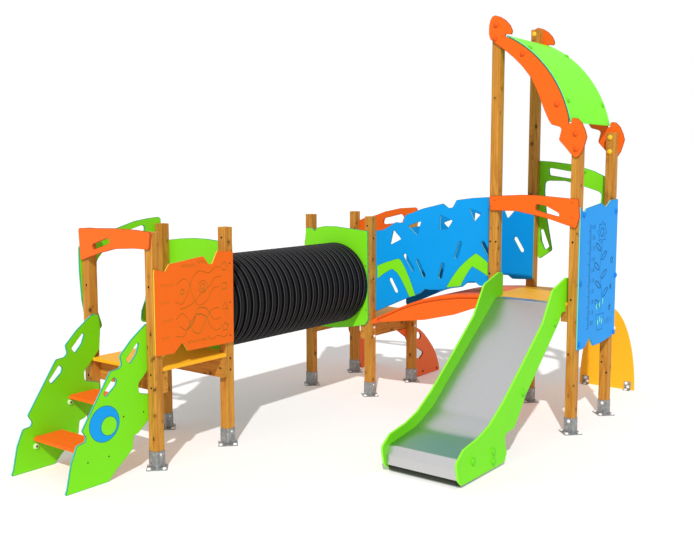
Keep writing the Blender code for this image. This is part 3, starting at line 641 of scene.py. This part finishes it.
def leafLine(number, leaf=heightPanel["leaf"]):
    base = Vector(stemPoint((number + 0.6) / (leaf["count"] + 0.2)))
    side = 1 if number % 2 else -1
    outline = []
    for step in range(25):
        angle = 2 * math.pi * step / 24
        reach = leaf["reach"] + leaf["half"] * math.cos(angle)
        lift = leaf["width"] * math.sin(angle)
        outline.append((heightX, base.x + side * reach, base.y + leaf["rise"] * reach + lift))
    return outline


def petalLine(flower=heightPanel["flower"], sides=72):
    swells = [math.cos(2 * math.pi * flower["petals"] * step / sides) for step in range(sides)]
    radii = [flower["outer"] * (1 - flower["notch"] * (1 - swell)) for swell in swells]
    return ringLine(heightX, flower["at"], flower["up"], radii)


def bladeLine(number, blades=heightPanel["blades"]):
    at = blades["at"] + blades["apart"] * number
    tall = blades["short"] + blades["longer"] * (number % 3)
    bend = heightPanel["bladeBend"]
    return [(heightX, at + lean, blades["low"] + tall * share) for lean, share in bend]


def scaleLines(plan):
    at = plan["scaleAt"]
    mark = plan["marks"]
    lines = []
    for number in range(round((plan["scaleTo"] - plan["scaleFrom"]) / plan["markStep"]) + 1):
        length = mark["long"] if number % 5 == 0 else mark["short"]
        up = plan["scaleFrom"] + number * plan["markStep"]
        lines.append([(heightX, at - length, up), (heightX, at - mark["gap"], up + mark["tilt"])])
    lines.append([(heightX, at, plan["scaleFrom"]), (heightX, at + mark["railTilt"], plan["scaleTo"])])
    return lines


# plain figures in a grid of 1 by 2
figureStrokes = {
    "0": [(0, 0), (1, 0), (1, 2), (0, 2), (0, 0)],
    "1": [(0.5, 0), (0.5, 2)],
    "2": [(0, 2), (1, 2), (1, 1.1), (0, 0.9), (0, 0), (1, 0)],
    "3": [(0, 2), (1, 2), (0.45, 1.2), (1, 0.8), (0.8, 0), (0, 0)],
    "4": [(1, 0), (1, 2), (0, 0.8), (0.65, 0.8)],
    "5": [(1, 2), (0, 2), (0, 1.1), (1, 0.9), (1, 0), (0, 0)],
    "6": [(1, 2), (0, 1.3), (0, 0), (1, 0), (1, 1), (0.35, 1)],
    "7": [(0, 2), (1, 2), (0.4, 0)],
    "8": [(0.3, 1.1), (0, 1.3), (0, 2), (1, 2), (1, 1.35), (0, 0.7), (0, 0), (1, 0), (1, 0.65)],
    "9": [(0.65, 1), (0, 1), (0, 2), (1, 2), (1, 0.7), (0, 0)],
}


# every 10 cm from 100 to 190
def figureLines(plan):
    figure = plan["figure"]
    lines = []
    for tens in range(10, 20):
        for place, digit in enumerate(str(tens * 10)):
            start = plan["scaleAt"] + figure["from"] + place * figure["width"] * figure["apart"]
            middle = tens / 10 - figure["half"]
            stroke = figureStrokes[digit]
            grid = [(start + a * figure["width"], middle + b * figure["half"]) for a, b in stroke]
            lines.append([(heightX, *point) for point in grid])
    return lines


stem = [(heightX, *stemPoint(step / 48)) for step in range(49)]
growth = [[(heightX, *corner) for corner in heightPanel["pot"]]]
growth += [leafLine(number) for number in range(heightPanel["leaf"]["count"])]
flower = heightPanel["flower"]
growth.append(ringLine(heightX, flower["at"], flower["up"], flower["inner"]))
growth.append(petalLine())
growth += [starLine(heightX, *star) for star in heightPanel["stars"]]
growth += [bladeLine(number) for number in range(heightPanel["blades"]["count"])]
engravings = [
    ([stem] + scaleLines(heightPanel), heightPanel["scaleGroove"]),
    (figureLines(heightPanel), heightPanel["figureGroove"]),
    (growth, heightPanel["plantGroove"]),
]
dressBoard("tower_3_side_panel", "sideBlue", 0, heightGroove, engravings)
print("engraved panels made")


# Inlays: flush shapes of a second colour, let into a board


# a flat shape drawn just under the board's surface and pulled out to stand proud of it,
# with a dark joint round it
def inlay(name, corners, outward, proud, material, joint=0.004, sunk=0.001):
    lowered = [[a - b * sunk for a, b in zip(corner, outward)] for corner in corners]
    mesh = bpy.data.meshes.new(name)
    mesh.from_pydata(lowered, [], [list(range(len(corners)))])
    piece = newObject(name, mesh)
    enterEdit(piece)
    pullOut(Vector(outward) * (proud + sunk))
    faceOutwards()
    choose(piece, "FACE", lambda place, normal: normal.dot(Vector(outward)) > squareOn)
    bpy.ops.mesh.inset(thickness=joint, depth=0)
    leaveEdit()
    for layer in (material, inlayJoint):
        piece.data.materials.append(layer)
    for face in piece.data.polygons:
        face.material_index = 0 if face.select else 1
    return finishPiece(piece)


# each chevron's outline: smooth runs that meet in corners
chevrons = {
    "proud": 0.0012,
    "lower": (
        [(0.053, 1.408), (0.158, 1.45), (0.325, 1.504)],
        [(0.365, 1.487), (0.428, 1.386), (0.491, 1.26), (0.546, 1.127)],
        [(0.469, 1.104), (0.398, 1.227), (0.326, 1.333), (0.252, 1.385)],
        [(0.159, 1.335), (0.059, 1.264)],
    ),
    "upper": (
        [(0.906, 1.238), (0.987, 1.367), (1.076, 1.474), (1.171, 1.558), (1.239, 1.608)],
        [(1.25, 1.609), (1.314, 1.574), (1.382, 1.525)],
        [(1.385, 1.382), (1.309, 1.426), (1.205, 1.472)],
        [(1.174, 1.43), (1.126, 1.356), (1.079, 1.266)],
    ),
}
for label, y, outward in (
    ("Front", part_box("bridge_panel_front")[0][1], front),
    ("Rear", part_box("bridge_panel_rear")[1][1], back),
):
    for end in ("lower", "upper"):
        outline = [point for run in chevrons[end] for point in smoothLine(run, 4)]
        corners = [(point.x, y, point.y) for point in outline]
        inlay(f"{end}Chevron{label}", corners, outward, chevrons["proud"], skins["green"])

stairInlays = {
    "x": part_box("stair_plate_right")[1][0],
    "joint": 0.005,
    "stairPlateRing": (-0.476, 0.469, 0.143, "blue", 0.0012),
    "stairPlateDisc": (-0.435, 0.445, 0.078, "green", 0.0024),
}
for name in ("stairPlateRing", "stairPlateDisc"):
    across, up, radius, colour, proud = stairInlays[name]
    corners = ringLine(stairInlays["x"], across, up, radius, sides=64)[:-1]
    inlay(name, corners, right, proud, skins[colour], stairInlays["joint"])

# small pale leaf patches on the height panel
patch = heightPanel["patch"]
patches = []
for number, (across, up) in enumerate(heightPanel["patches"]):
    corners = ringLine(heightX, across, up, patch["radius"], patch["squash"], 16)[:-1]
    leaf = inlay(f"leafPatch{number}", corners, right, patch["proud"], paleCore, patch["joint"])
    patches.append(leaf)
joined(patches, "heightPanelLeafPatches")
print("inlays made")


# Decks, treads, bridge, beams and posts

deckRim = 0.004
for node in ("tower_1_deck", "tower_2_deck", "tower_3_deck", "stair_tread_lower", "stair_tread_upper"):
    plastic = "yellow" if node.startswith("tower") else "deckOrange"
    dressNode(node, deckRim, 2, [skins[plastic]])

# the bridge deck, with the ledge on top of the crescents at its sides painted dark as painted
# shade, and a dark bead in the corner over each crescent that stands in for the shadow line
# there (painted shade)
bridge = {
    "middle": 3.38125,
    "halfDeck": 0.4525,
    "beadRadius": 0.0075,
    "beadOut": 0.004,
    "beadUp": 0.002,
    "sameLevel": 0.0002,
    "slack": 0.0001,
    "ledgeFacing": (0.2, 0.9999),
}
bridgeDeck = mergedCopy("bridge_deck")
deckPoints = [point.co.copy() for point in bridgeDeck.data.vertices]
levels = sorted({round(point.y, 4) for point in deckPoints})
beadLines = []
for outer, inner, side in ((levels[0], levels[1], -1), (levels[-1], levels[-2], 1)):
    edge = sorted((p.x, p.z) for p in deckPoints if abs(p.y - outer) < bridge["sameLevel"])
    (startX, startZ), (endX, endZ) = edge[0], edge[-1]
    slope = (endZ - startZ) / (endX - startX)
    over = [(x, z) for x, z in edge if z >= startZ + slope * (x - startX) - bridge["slack"]]
    beadLines.append([(x, inner + side * bridge["beadOut"], z + bridge["beadUp"]) for x, z in over])


# the ledge faces on top of the crescents take the painted shade
def bridgeLayer(place, normal):
    onCrescent = abs(place.y - bridge["middle"]) > bridge["halfDeck"]
    low, high = bridge["ledgeFacing"]
    return 1 if onCrescent and low < normal.z < high else 0


roundEdges(bridgeDeck, deckRim)
paint(bridgeDeck, [skins["deckOrange"], deckShadowLine], bridgeLayer)
finishPiece(bridgeDeck, ["bridge_deck"])
# the beads are painted shade along the crescents' top edges
shadeBeads = tubesAlong("crescentBeads", beadLines, bridge["beadRadius"], 2)
paint(shadeBeads, [deckShadowLine])
finishPiece(shadeBeads)

beamRim = 0.003
for node in sorted(nodes):
    if "_beam_" in node and "roof" not in node:
        low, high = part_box(node)
        along = 0 if high[0] - low[0] > high[1] - low[1] else 1
        dressNode(node, beamRim, 2, [pine[along]])

# bolt recesses, painted near black inside as painted shade: the face's outward direction,
# distance across it, height
posts = {
    "topRim": 0.004,
    "recessRadius": 0.01,
    "recessDepth": 0.01,
    "recesses": {
        "a": [(front, 0, 0.781), (front, 0, 0.672), (front, -0.004, 1.495)],
        "b": [(right, 0, 0.678), (right, 0, 0.78), (front, 0, 1.843)],
        "c": [(front, 0, 0.757), (front, 0, 0.666), (front, 0.01, 1.449)],
        "d": [(back, 0, 0.757), (back, 0, 0.666)],
        "e": [(left, 0, 0.757), (left, 0, 0.666)],
        "f": [(right, -0.006, 1.7), (right, -0.006, 1.268), (front, -0.01, 1.834)],
        "g": [(left, 0, 0.757), (left, 0, 0.666)],
        "i": [(front, -0.03, 1.74), (front, 0.03, 1.74), (front, -0.03, 1.43)],
        "k": [(front, -0.01, 1.772), (front, -0.012, 1.247), (front, -0.024, 0.741)],
        "j": [(left, 0, 1.075), (left, 0, 1.155)],
        "l": [(front, -0.02, 0.533), (front, 0.03, 0.43)],
    },
}
for letter in "abcdefghijkl":
    post = mergedCopy("post_" + letter)
    low, high = cornersOf("post_" + letter)
    choose(post, "EDGE", lambda middle, run: abs(middle.z - high.z) < 0.001)
    bevelSelected(posts["topRim"], 2)
    layers = [pine[2], capPlastic["dark"]]
    paint(post, layers)
    cutters = []
    for outward, across, up in posts["recesses"].get(letter, []):
        sideways = Vector((-outward[1], outward[0], 0))
        centre = Vector(((low.x + high.x) / 2, (low.y + high.y) / 2, up))
        spot = centre + Vector(outward) * ((high.x - low.x) / 2) + sideways * across
        bpy.ops.mesh.primitive_cylinder_add(
            vertices=20, radius=posts["recessRadius"], depth=2 * posts["recessDepth"]
        )
        cutters.append(bpy.context.active_object)
        cutters[-1].matrix_world = Matrix.Translation(spot) @ facing(outward)
    if cutters:
        cutter = joined(cutters, "recessCutters")
        # the recesses' walls and floor take the near-black colour, painted shade
        paint(cutter, layers, lambda place, normal: 1)
        cutWith(post, cutter)
    finishPiece(post, ["post_" + letter])
print("timber dressed")


# The roof sheet: its curve's centre and radius place the caps that stand square to it

roof = {
    "rim": 0.003,
    "rimFacing": 0.3,
    "centre": (1.095, 2.601),
    "radius": 1.171,
    "capRows": (2.974, 3.788),
    "caps": ((1.795, 3.534), (2.17, 3.04)),
}


# the front and rear edges in the edge colour, and the rims' chamfers that face upward in bright cyan, a
# painted highlight
def roofLayer(place, normal):
    if abs(normal.y) > squareOn:
        return 1
    return 2 if abs(normal.y) > roof["rimFacing"] and normal.z > 0 else 0


dressNode("roof_sheet", roof["rim"], 1, sheets["roofGreen"], roofLayer)
print("roof made")


# The tunnel: one rib's outline turned round the pipe's axis

# the rib's points: share of its length, share of its height
pipe = {
    "ribs": 24,
    "crest": 0.431,
    "root": 0.4095,
    "bore": 0.38,
    "steps": 96,
    "seam": 0.00005,
    "crestAbove": 0.97,
    "dustAbove": 0.6,
    "dustFacing": 0.3,
    "rib": [(0.03, 0), (0.1, 0.04), (0.17, 0.55), (0.24, 0.92), (0.33, 1)]
    + [(0.67, 1), (0.76, 0.92), (0.83, 0.55), (0.9, 0.04), (0.97, 0)],
}
pipeLow, pipeHigh = cornersOf("tunnel")
pipeAxis = (pipeLow + pipeHigh) / 2
pitch = (pipeHigh.y - pipeLow.y) / pipe["ribs"]
wall = [(pipe["bore"], pipeLow.y), (pipe["root"], pipeLow.y)]
for rib in range(pipe["ribs"]):
    for share, rise in pipe["rib"]:
        radius = pipe["root"] + (pipe["crest"] - pipe["root"]) * rise
        wall.append((radius, pipeLow.y + (rib + share) * pitch))
wall += [(pipe["root"], pipeHigh.y), (pipe["bore"], pipeHigh.y)]
wallMesh = bpy.data.meshes.new("tunnelPipe")
wallPoints = [(pipeAxis.x + radius, y, pipeAxis.z) for radius, y in wall]
wallMesh.from_pydata(wallPoints, [(index, (index + 1) % len(wall)) for index in range(len(wall))], [])
tunnelPipe = newObject("tunnelPipe", wallMesh)
enterEdit(tunnelPipe)
pipeCentre = (pipeAxis.x, 0, pipeAxis.z)
bpy.ops.mesh.spin(steps=pipe["steps"], angle=2 * math.pi, center=pipeCentre, axis=(0, 1, 0))
bpy.ops.mesh.select_all(action="SELECT")
bpy.ops.mesh.remove_doubles(threshold=pipe["seam"])
faceOutwards()


# crests plain, the upper part of each flank that faces the stairs paler as a painted highlight,
# the grooves and the other flanks near black as painted shade
def pipeLayer(place, normal):
    out = math.hypot(place.x - pipeAxis.x, place.z - pipeAxis.z)
    rise = (out - pipe["root"]) / (pipe["crest"] - pipe["root"])
    if out < (pipe["bore"] + pipe["root"]) / 2 or rise > pipe["crestAbove"]:
        return 0
    return 1 if normal.y < -pipe["dustFacing"] and rise > pipe["dustAbove"] else 2


paint(tunnelPipe, [pipePlastic, pipeHighlight, pipeShade], pipeLayer)
finishPiece(tunnelPipe, ["tunnel"], smooth=50)
print("tunnel turned")


# The slide: two walls, the bed with its lip painted lighter as a painted highlight, and a
# dark strip under the lip that stands in for the shade in the gap there (painted shade)

slide = {
    "wallRim": 0.007,
    "lipBefore": 1.095,
    "stripAt": (1.88375, 1.086, 0.039),
    "stripSize": (0.66, 0.01, 0.05),
    "stripRim": 0.002,
}
# the walls' faces that look in over the bed take the darker slideShade green, painted shade, and their
# edges the lighter green, a painted highlight
wallLayers = [skins["slideGreen"], sheets["slideGreen"][1], skins["slideShade"]]
for label, inward in (("left", 1), ("right", -1)):
    dressNode(
        f"slide_wall_{label}",
        slide["wallRim"],
        3,
        wallLayers,
        lambda place, normal: 1 if abs(normal.x) < squareOn else 2 if normal.x * inward > 0 else 0,
    )
slideBed = mergedCopy("slide_bed")
# the lip takes the lighter stainless, a painted highlight
paint(slideBed, [stainless, lipHighlight], lambda place, normal: 1 if place.y < slide["lipBefore"] else 0)
finishPiece(slideBed, ["slide_bed"])
# a dark strip under the lip: painted shade for the shadowed gap
gapShadeStrip = addBlock("slideFootStrip", slide["stripAt"], slide["stripSize"])
roundEdges(gapShadeStrip, slide["stripRim"])
paint(gapShadeStrip, [boardPlastic("blackRubberStrip", "#363A32", roughness=0.7)])
finishPiece(gapShadeStrip)
print("slide made")


# Dome caps: radius and height of each size

capShape = {
    "broad": (0.03, 0.021),
    "large": (0.0245, 0.017),
    "medium": (0.016, 0.011),
    "small": (0.0095, 0.006),
    "tiny": (0.0065, 0.003),
    "anchor": (0.0185, 0.016),
}


# half a ball flattened, on a short upright rim
def makeCap(name, radius, height, rimShare=0.2):
    bpy.ops.mesh.primitive_uv_sphere_add(segments=20, ring_count=12, radius=radius)
    cap = bpy.context.active_object
    cap.name = name
    enterEdit(cap)
    upperHalf((1, 1, height * (1 - rimShare) / radius), (0, 0, height * rimShare), True)
    leaveEdit()
    choose(cap, "FACE", lambda middle, normal: normal.z < -squareOn)
    pullOut((0, 0, -height * rimShare))
    leaveEdit()
    return cap


capMasters = {name: makeCap("cap" + name.capitalize(), *shape) for name, shape in capShape.items()}


def capAt(size, spot, outward, colour):
    cap = newObject(size + "Cap", capMasters[size].data.copy())
    cap.matrix_world = Matrix.Translation(Vector(spot)) @ facing(outward)
    paint(cap, [capPlastic[colour]])
    return cap


# Feet: a box shoe on a turned base plate, with a weld round it and capped anchor bolts

foot = {
    "plate": 0.17,
    "thick": 0.008,
    "plateCorner": 0.012,
    "plateRim": 0.0012,
    "shoe": 0.15,
    "shoeCorner": 0.008,
    "wall": 0.0036,
    "inside": 0.0453,
    "weld": 0.0045,
    "anchor": 0.088,
    "screwDown": 0.03,
}


def isUpright(place, run):
    return abs(run.z) > squareOn


def makeFoot(letter, screwTo, screwSize):
    low, high = cornersOf(f"foot_{letter}")
    thick = foot["thick"]
    middle = Vector(((low.x + high.x) / 2, (low.y + high.y) / 2, 0))
    onPlate = middle + Vector((0, 0, thick))
    plateAt = middle + Vector((0, 0, thick / 2))
    plate = addBlock("footPlate", plateAt, (foot["plate"], foot["plate"], thick), math.pi / 4)
    choose(plate, "EDGE", isUpright)
    bevelSelected(foot["plateCorner"], 4)
    roundEdges(plate, foot["plateRim"], 1)
    outside = foot["inside"] + foot["wall"]
    shoeAt = middle + Vector((0, 0, (thick + foot["shoe"]) / 2))
    shoe = addBlock("footShoe", shoeAt, (2 * outside, 2 * outside, foot["shoe"] - thick))
    choose(shoe, "FACE", isUpright)
    bpy.ops.mesh.delete(type="FACE")
    leaveEdit()
    choose(shoe, "EDGE", isUpright)
    bevelSelected(foot["shoeCorner"], 3)
    applyModifier(shoe, "SOLIDIFY", thickness=foot["wall"], offset=-1)
    bpy.ops.mesh.primitive_torus_add(
        location=onPlate,
        rotation=(0, 0, math.pi / 4),
        major_segments=4,
        minor_segments=6,
        major_radius=(outside + 0.001) * math.sqrt(2),
        minor_radius=foot["weld"],
    )
    steel = joined([plate, bpy.context.active_object, shoe], "steel")
    paint(steel, [zinc])
    caps = []
    for side in (right, back, left, front):
        caps.append(capAt("anchor", onPlate + Vector(side) * foot["anchor"], upward, "white"))
    for outward in screwTo:
        place = middle + Vector(outward) * outside + Vector((0, 0, foot["shoe"] - foot["screwDown"]))
        caps.append(capAt(screwSize, place, outward, "white"))
    whole = joined(caps + [steel], f"foot{letter.upper()}")
    finishPiece(whole, [f"foot_{letter}"])


# the shoe faces that have a screw, and its size
footScrews = (
    ("cdefghij", [right], "small"),
    ("ab", [right, back], "small"),
    ("kl", [front], "medium"),
)
for letters, screwTo, screwSize in footScrews:
    for letter in letters:
        makeFoot(letter, screwTo, screwSize)
print("feet made")


# The rear ramp: arch-shaped plate, tapered tread and two angle brackets

ramp = {
    "x": 1.89,
    "y": 4.89,
    "half": 0.314,
    "height": 0.905,
    "base": 0.003,
    "thick": 0.019,
    "rim": 0.003,
    "treadFrom": (3.8535, 1.2, 0.11),
    "treadTo": (4.8995, 0.87, 0.055),
    "treadThick": 0.03,
    "bracket": 0.24,
    "bracketBehind": 0.03,
    "bracketSize": (0.078, 0.059, 0.094),
    "bracketSheet": 0.005,
    "bracketRim": 0.001,
}
bpy.ops.mesh.primitive_circle_add(vertices=96, radius=1, fill_type="NGON", rotation=(math.pi / 2, 0, 0))
rampPlate = bpy.context.active_object
rampPlate.name = "rearRampPlate"
placeIntoMesh()
enterEdit(rampPlate)
upperHalf((ramp["half"], 1, ramp["height"]), (ramp["x"], ramp["y"], ramp["base"]), False)
pullOut((0, ramp["thick"], 0))
faceOutwards()
roundEdges(rampPlate, ramp["rim"])
paint(rampPlate, [skins["yellow"]])
finishPiece(rampPlate, ["rear_ramp"])

# the tread starts level and broad, and its far end is then narrowed and let down
startY, startZ, startHalf = ramp["treadFrom"]
endY, endZ, endHalf = ramp["treadTo"]
treadAt = (ramp["x"], (startY + endY) / 2, startZ - ramp["treadThick"] / 2)
rampTread = addBlock("rearRampTread", treadAt, (2 * startHalf, endY - startY, ramp["treadThick"]))
choose(rampTread, "FACE", lambda place, normal: normal.y > squareOn)
bpy.ops.transform.resize(value=(endHalf / startHalf, 1, 1), center_override=(ramp["x"], endY, 0))
bpy.ops.transform.translate(value=(0, 0, endZ - startZ))
leaveEdit()
roundEdges(rampTread, ramp["rim"])
paint(rampTread, [skins["yellow"]])
finishPiece(rampTread)

wide, deep, tall = ramp["bracketSize"]
addPlane = bpy.ops.mesh.primitive_plane_add
for side, label in ((-1, "Left"), (1, "Right")):
    bracketAt = (ramp["x"] + side * ramp["bracket"], ramp["y"] - ramp["bracketBehind"], 0)
    bracket = addBlock("rampBracket" + label, bracketAt, (wide, deep, 1), primitive=addPlane)
    choose(bracket, "EDGE", lambda place, run: place.y > bracketAt[1] + deep / 3)
    pullOut((0, 0, tall))
    leaveEdit()
    applyModifier(bracket, "SOLIDIFY", thickness=ramp["bracketSheet"], offset=1)
    roundEdges(bracket, ramp["bracketRim"], 1)
    paint(bracket, [zinc])
    finishPiece(bracket)
print("rear ramp made")


# Dome caps over the bolts

frontT3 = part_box("tower_3_handle_panel")[0][1]
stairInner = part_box("stair_plate_left")[1][0]
stairNuts = [(-0.285, 0.49), (-0.622, 0.195)]
capInset = {"nutCentre": 0.014, "bracket": 0.006, "bracketFoot": 0.038, "plate": 0.005, "post": 0.004}
footCapY = ramp["y"] - capInset["bracketFoot"]
# name: size, colour, outward direction and place along it, then each cap's two other coordinates
capGroups = {
    "roofBeamFrontCaps": ["large", "orange", front, frontT3]
    + [(1.479, 3.764), (1.471, 3.64), (1.755, 3.481), (2.105, 3.011), (2.288, 2.745), (2.297, 2.61)],
    "roofPostCaps": ["large", "yellow", front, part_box("post_j")[0][1]]
    + [(1.469, 3.777), (2.285, 2.732), (2.285, 2.596)],
    "heightPanelCaps": ["large", "blue", right, heightX]
    + [(3.777, 2.026), (3.806, 1.399), (3.803, 0.833), (2.992, 2.02), (2.958, 1.397), (2.955, 0.84)],
    "slideWallCaps": ["broad", "green", right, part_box("slide_wall_right")[1][0]]
    + [(1.243, 0.175), (1.571, 0.171), (1.574, 0.088), (2.082, 0.55), (2.694, 1.06)],
    "towerTwoPostCaps": ["medium", "white", right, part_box("post_f")[1][0]]
    + [(2.988, 0.748), (2.989, 0.65), (3.789, 0.652)],
    "towerThreeHandleCaps": ["small", "orange", front, frontT3]
    + [(1.463, 2.081), (1.5, 2.14), (2.277, 2.132), (2.281, 1.998)],
    "tunnelPanelCaps": ["tiny", "dark", front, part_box("tower_2_tunnel_panel")[0][1]]
    + [(-0.017, 1.408), (-0.009, 0.937)],
    "playPanelCaps": ["tiny", "dark", right, playX] + playPanel["bolts"],
    "stairNutsFar": ["large", "pale", right, stairInner] + stairNuts,
    "stairNutCentres": ["small", "dark", right, stairInner + capInset["nutCentre"]] + stairNuts,
    "stairBolts": ["tiny", "dark", right, stairInlays["x"]]
    + [(-0.291, 0.486), (-0.64, 0.204), (-0.443, 0.202), (-0.092, 0.482)],
    "climberCaps": ["medium", "red", right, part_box("climber_plate_right")[1][0]]
    + [(4.107, 0.05), (4.42, 0.035)],
    "doorwayCapRear": ["medium", "green", front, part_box("tower_3_doorway_panel")[0][1]]
    + [(2.006, 2.404)],
    "rampBracketCaps": ["anchor", "white", front, ramp["y"] - capInset["bracket"]]
    + [(1.648, 0.074), (2.118, 0.074), (1.668, 0.034), (2.138, 0.034)],
    "rearPostCap": ["medium", "white", right, heightX - capInset["post"], (3.842, 0.868)],
    "rampFootCaps": ["anchor", "white", upward, capInset["plate"], (1.655, footCapY), (2.125, footCapY)],
}
for name, (size, colour, outward, level, *spots) in capGroups.items():
    axis = [abs(value) for value in outward].index(1)
    caps = [capAt(size, (*spot[:axis], level, *spot[axis:]), outward, colour) for spot in spots]
    finishPiece(joined(caps, name))

centreX, centreZ = roof["centre"]
roofCaps = []
for x, z in roof["caps"]:
    for y in roof["capRows"]:
        outward = Vector((x - centreX, 0, z - centreZ)).normalized()
        spot = Vector((centreX, y, centreZ)) + outward * roof["radius"]
        roofCaps.append(capAt("large", spot, outward, "green"))
finishPiece(joined(roofCaps, "roofSheetCaps"))
for cap in capMasters.values():
    bpy.data.objects.remove(cap, do_unlink=True)
print("caps placed")


# Floor, light and camera

stage = {
    "floorSize": 120,
    "floorAt": (0, 20, 0),
    "floorColour": "#F4F3F2",
    "floorGlow": 0.16,
    "floorRoughness": 0.9,
    "skyColour": (1, 0.985, 0.965, 1),
    "skyStrength": 0.475,
    "sunStrength": 2.6,
    "sunWidth": 1.2,
    "sunFrom": (0.401, -0.624, 0.669),
    "lens": 46.44,
    "sensor": 36,
    "cameraAt": (5.524, -4.699, 2.432),
    "cameraDown": 6.24,
    "cameraTurn": 37.32,
}
bpy.ops.mesh.primitive_plane_add(size=stage["floorSize"], location=stage["floorAt"])
floor = bpy.context.active_object
floor.name = "floor"
floorMaterial, add, shader = newMaterial("whiteFloor")
feed(shader, {"Base Color": linear(stage["floorColour"]), "Specular IOR Level": 0})
feed(shader, {"Roughness": stage["floorRoughness"]})
lift = add("Emission", {"Color": (1, 1, 1, 1), "Strength": stage["floorGlow"]})
shown = add("AddShader", {0: shader, 1: lift})
feed(floorMaterial.node_tree.nodes["Material Output"], {"Surface": shown})
floor.data.materials.append(floorMaterial)

# the background shows white to the camera and in reflections, and lights the object less
world = bpy.data.worlds.new("softStudio")
bpy.context.scene.world = world
world.use_nodes = True
add = partial(addNode, world.node_tree)
lighting = world.node_tree.nodes["Background"]
feed(lighting, {"Color": stage["skyColour"], "Strength": stage["skyStrength"]})
white = add("Background", {"Color": (1, 1, 1, 1), "Strength": 1})
seen = add("LightPath", {})
rays = seen.outputs["Is Camera Ray"]
for kind in ("Is Glossy Ray", "Is Transmission Ray"):
    rays = add("Math", {0: rays, 1: seen.outputs[kind]}, operation="MAXIMUM")
sky = add("MixShader", {0: rays, 1: lighting, 2: white})
feed(world.node_tree.nodes["World Output"], {"Surface": sky})

sun = bpy.data.lights.new("sun", "SUN")
sun.energy = stage["sunStrength"]
sun.angle = math.radians(stage["sunWidth"])
sunLamp = newObject("sun", sun)
sunLamp.rotation_euler = Vector(stage["sunFrom"]).to_track_quat("Z", "Y").to_euler()

camera = bpy.data.cameras.new("camera")
camera.lens = stage["lens"]
camera.sensor_fit = "HORIZONTAL"
camera.sensor_width = stage["sensor"]
cameraObject = newObject("camera", camera)
cameraObject.location = stage["cameraAt"]
cameraObject.rotation_euler = (math.radians(90 - stage["cameraDown"]), 0, math.radians(stage["cameraTurn"]))
bpy.context.scene.camera = cameraObject
bpy.context.scene.view_settings.view_transform = "Standard"
print("stage set")
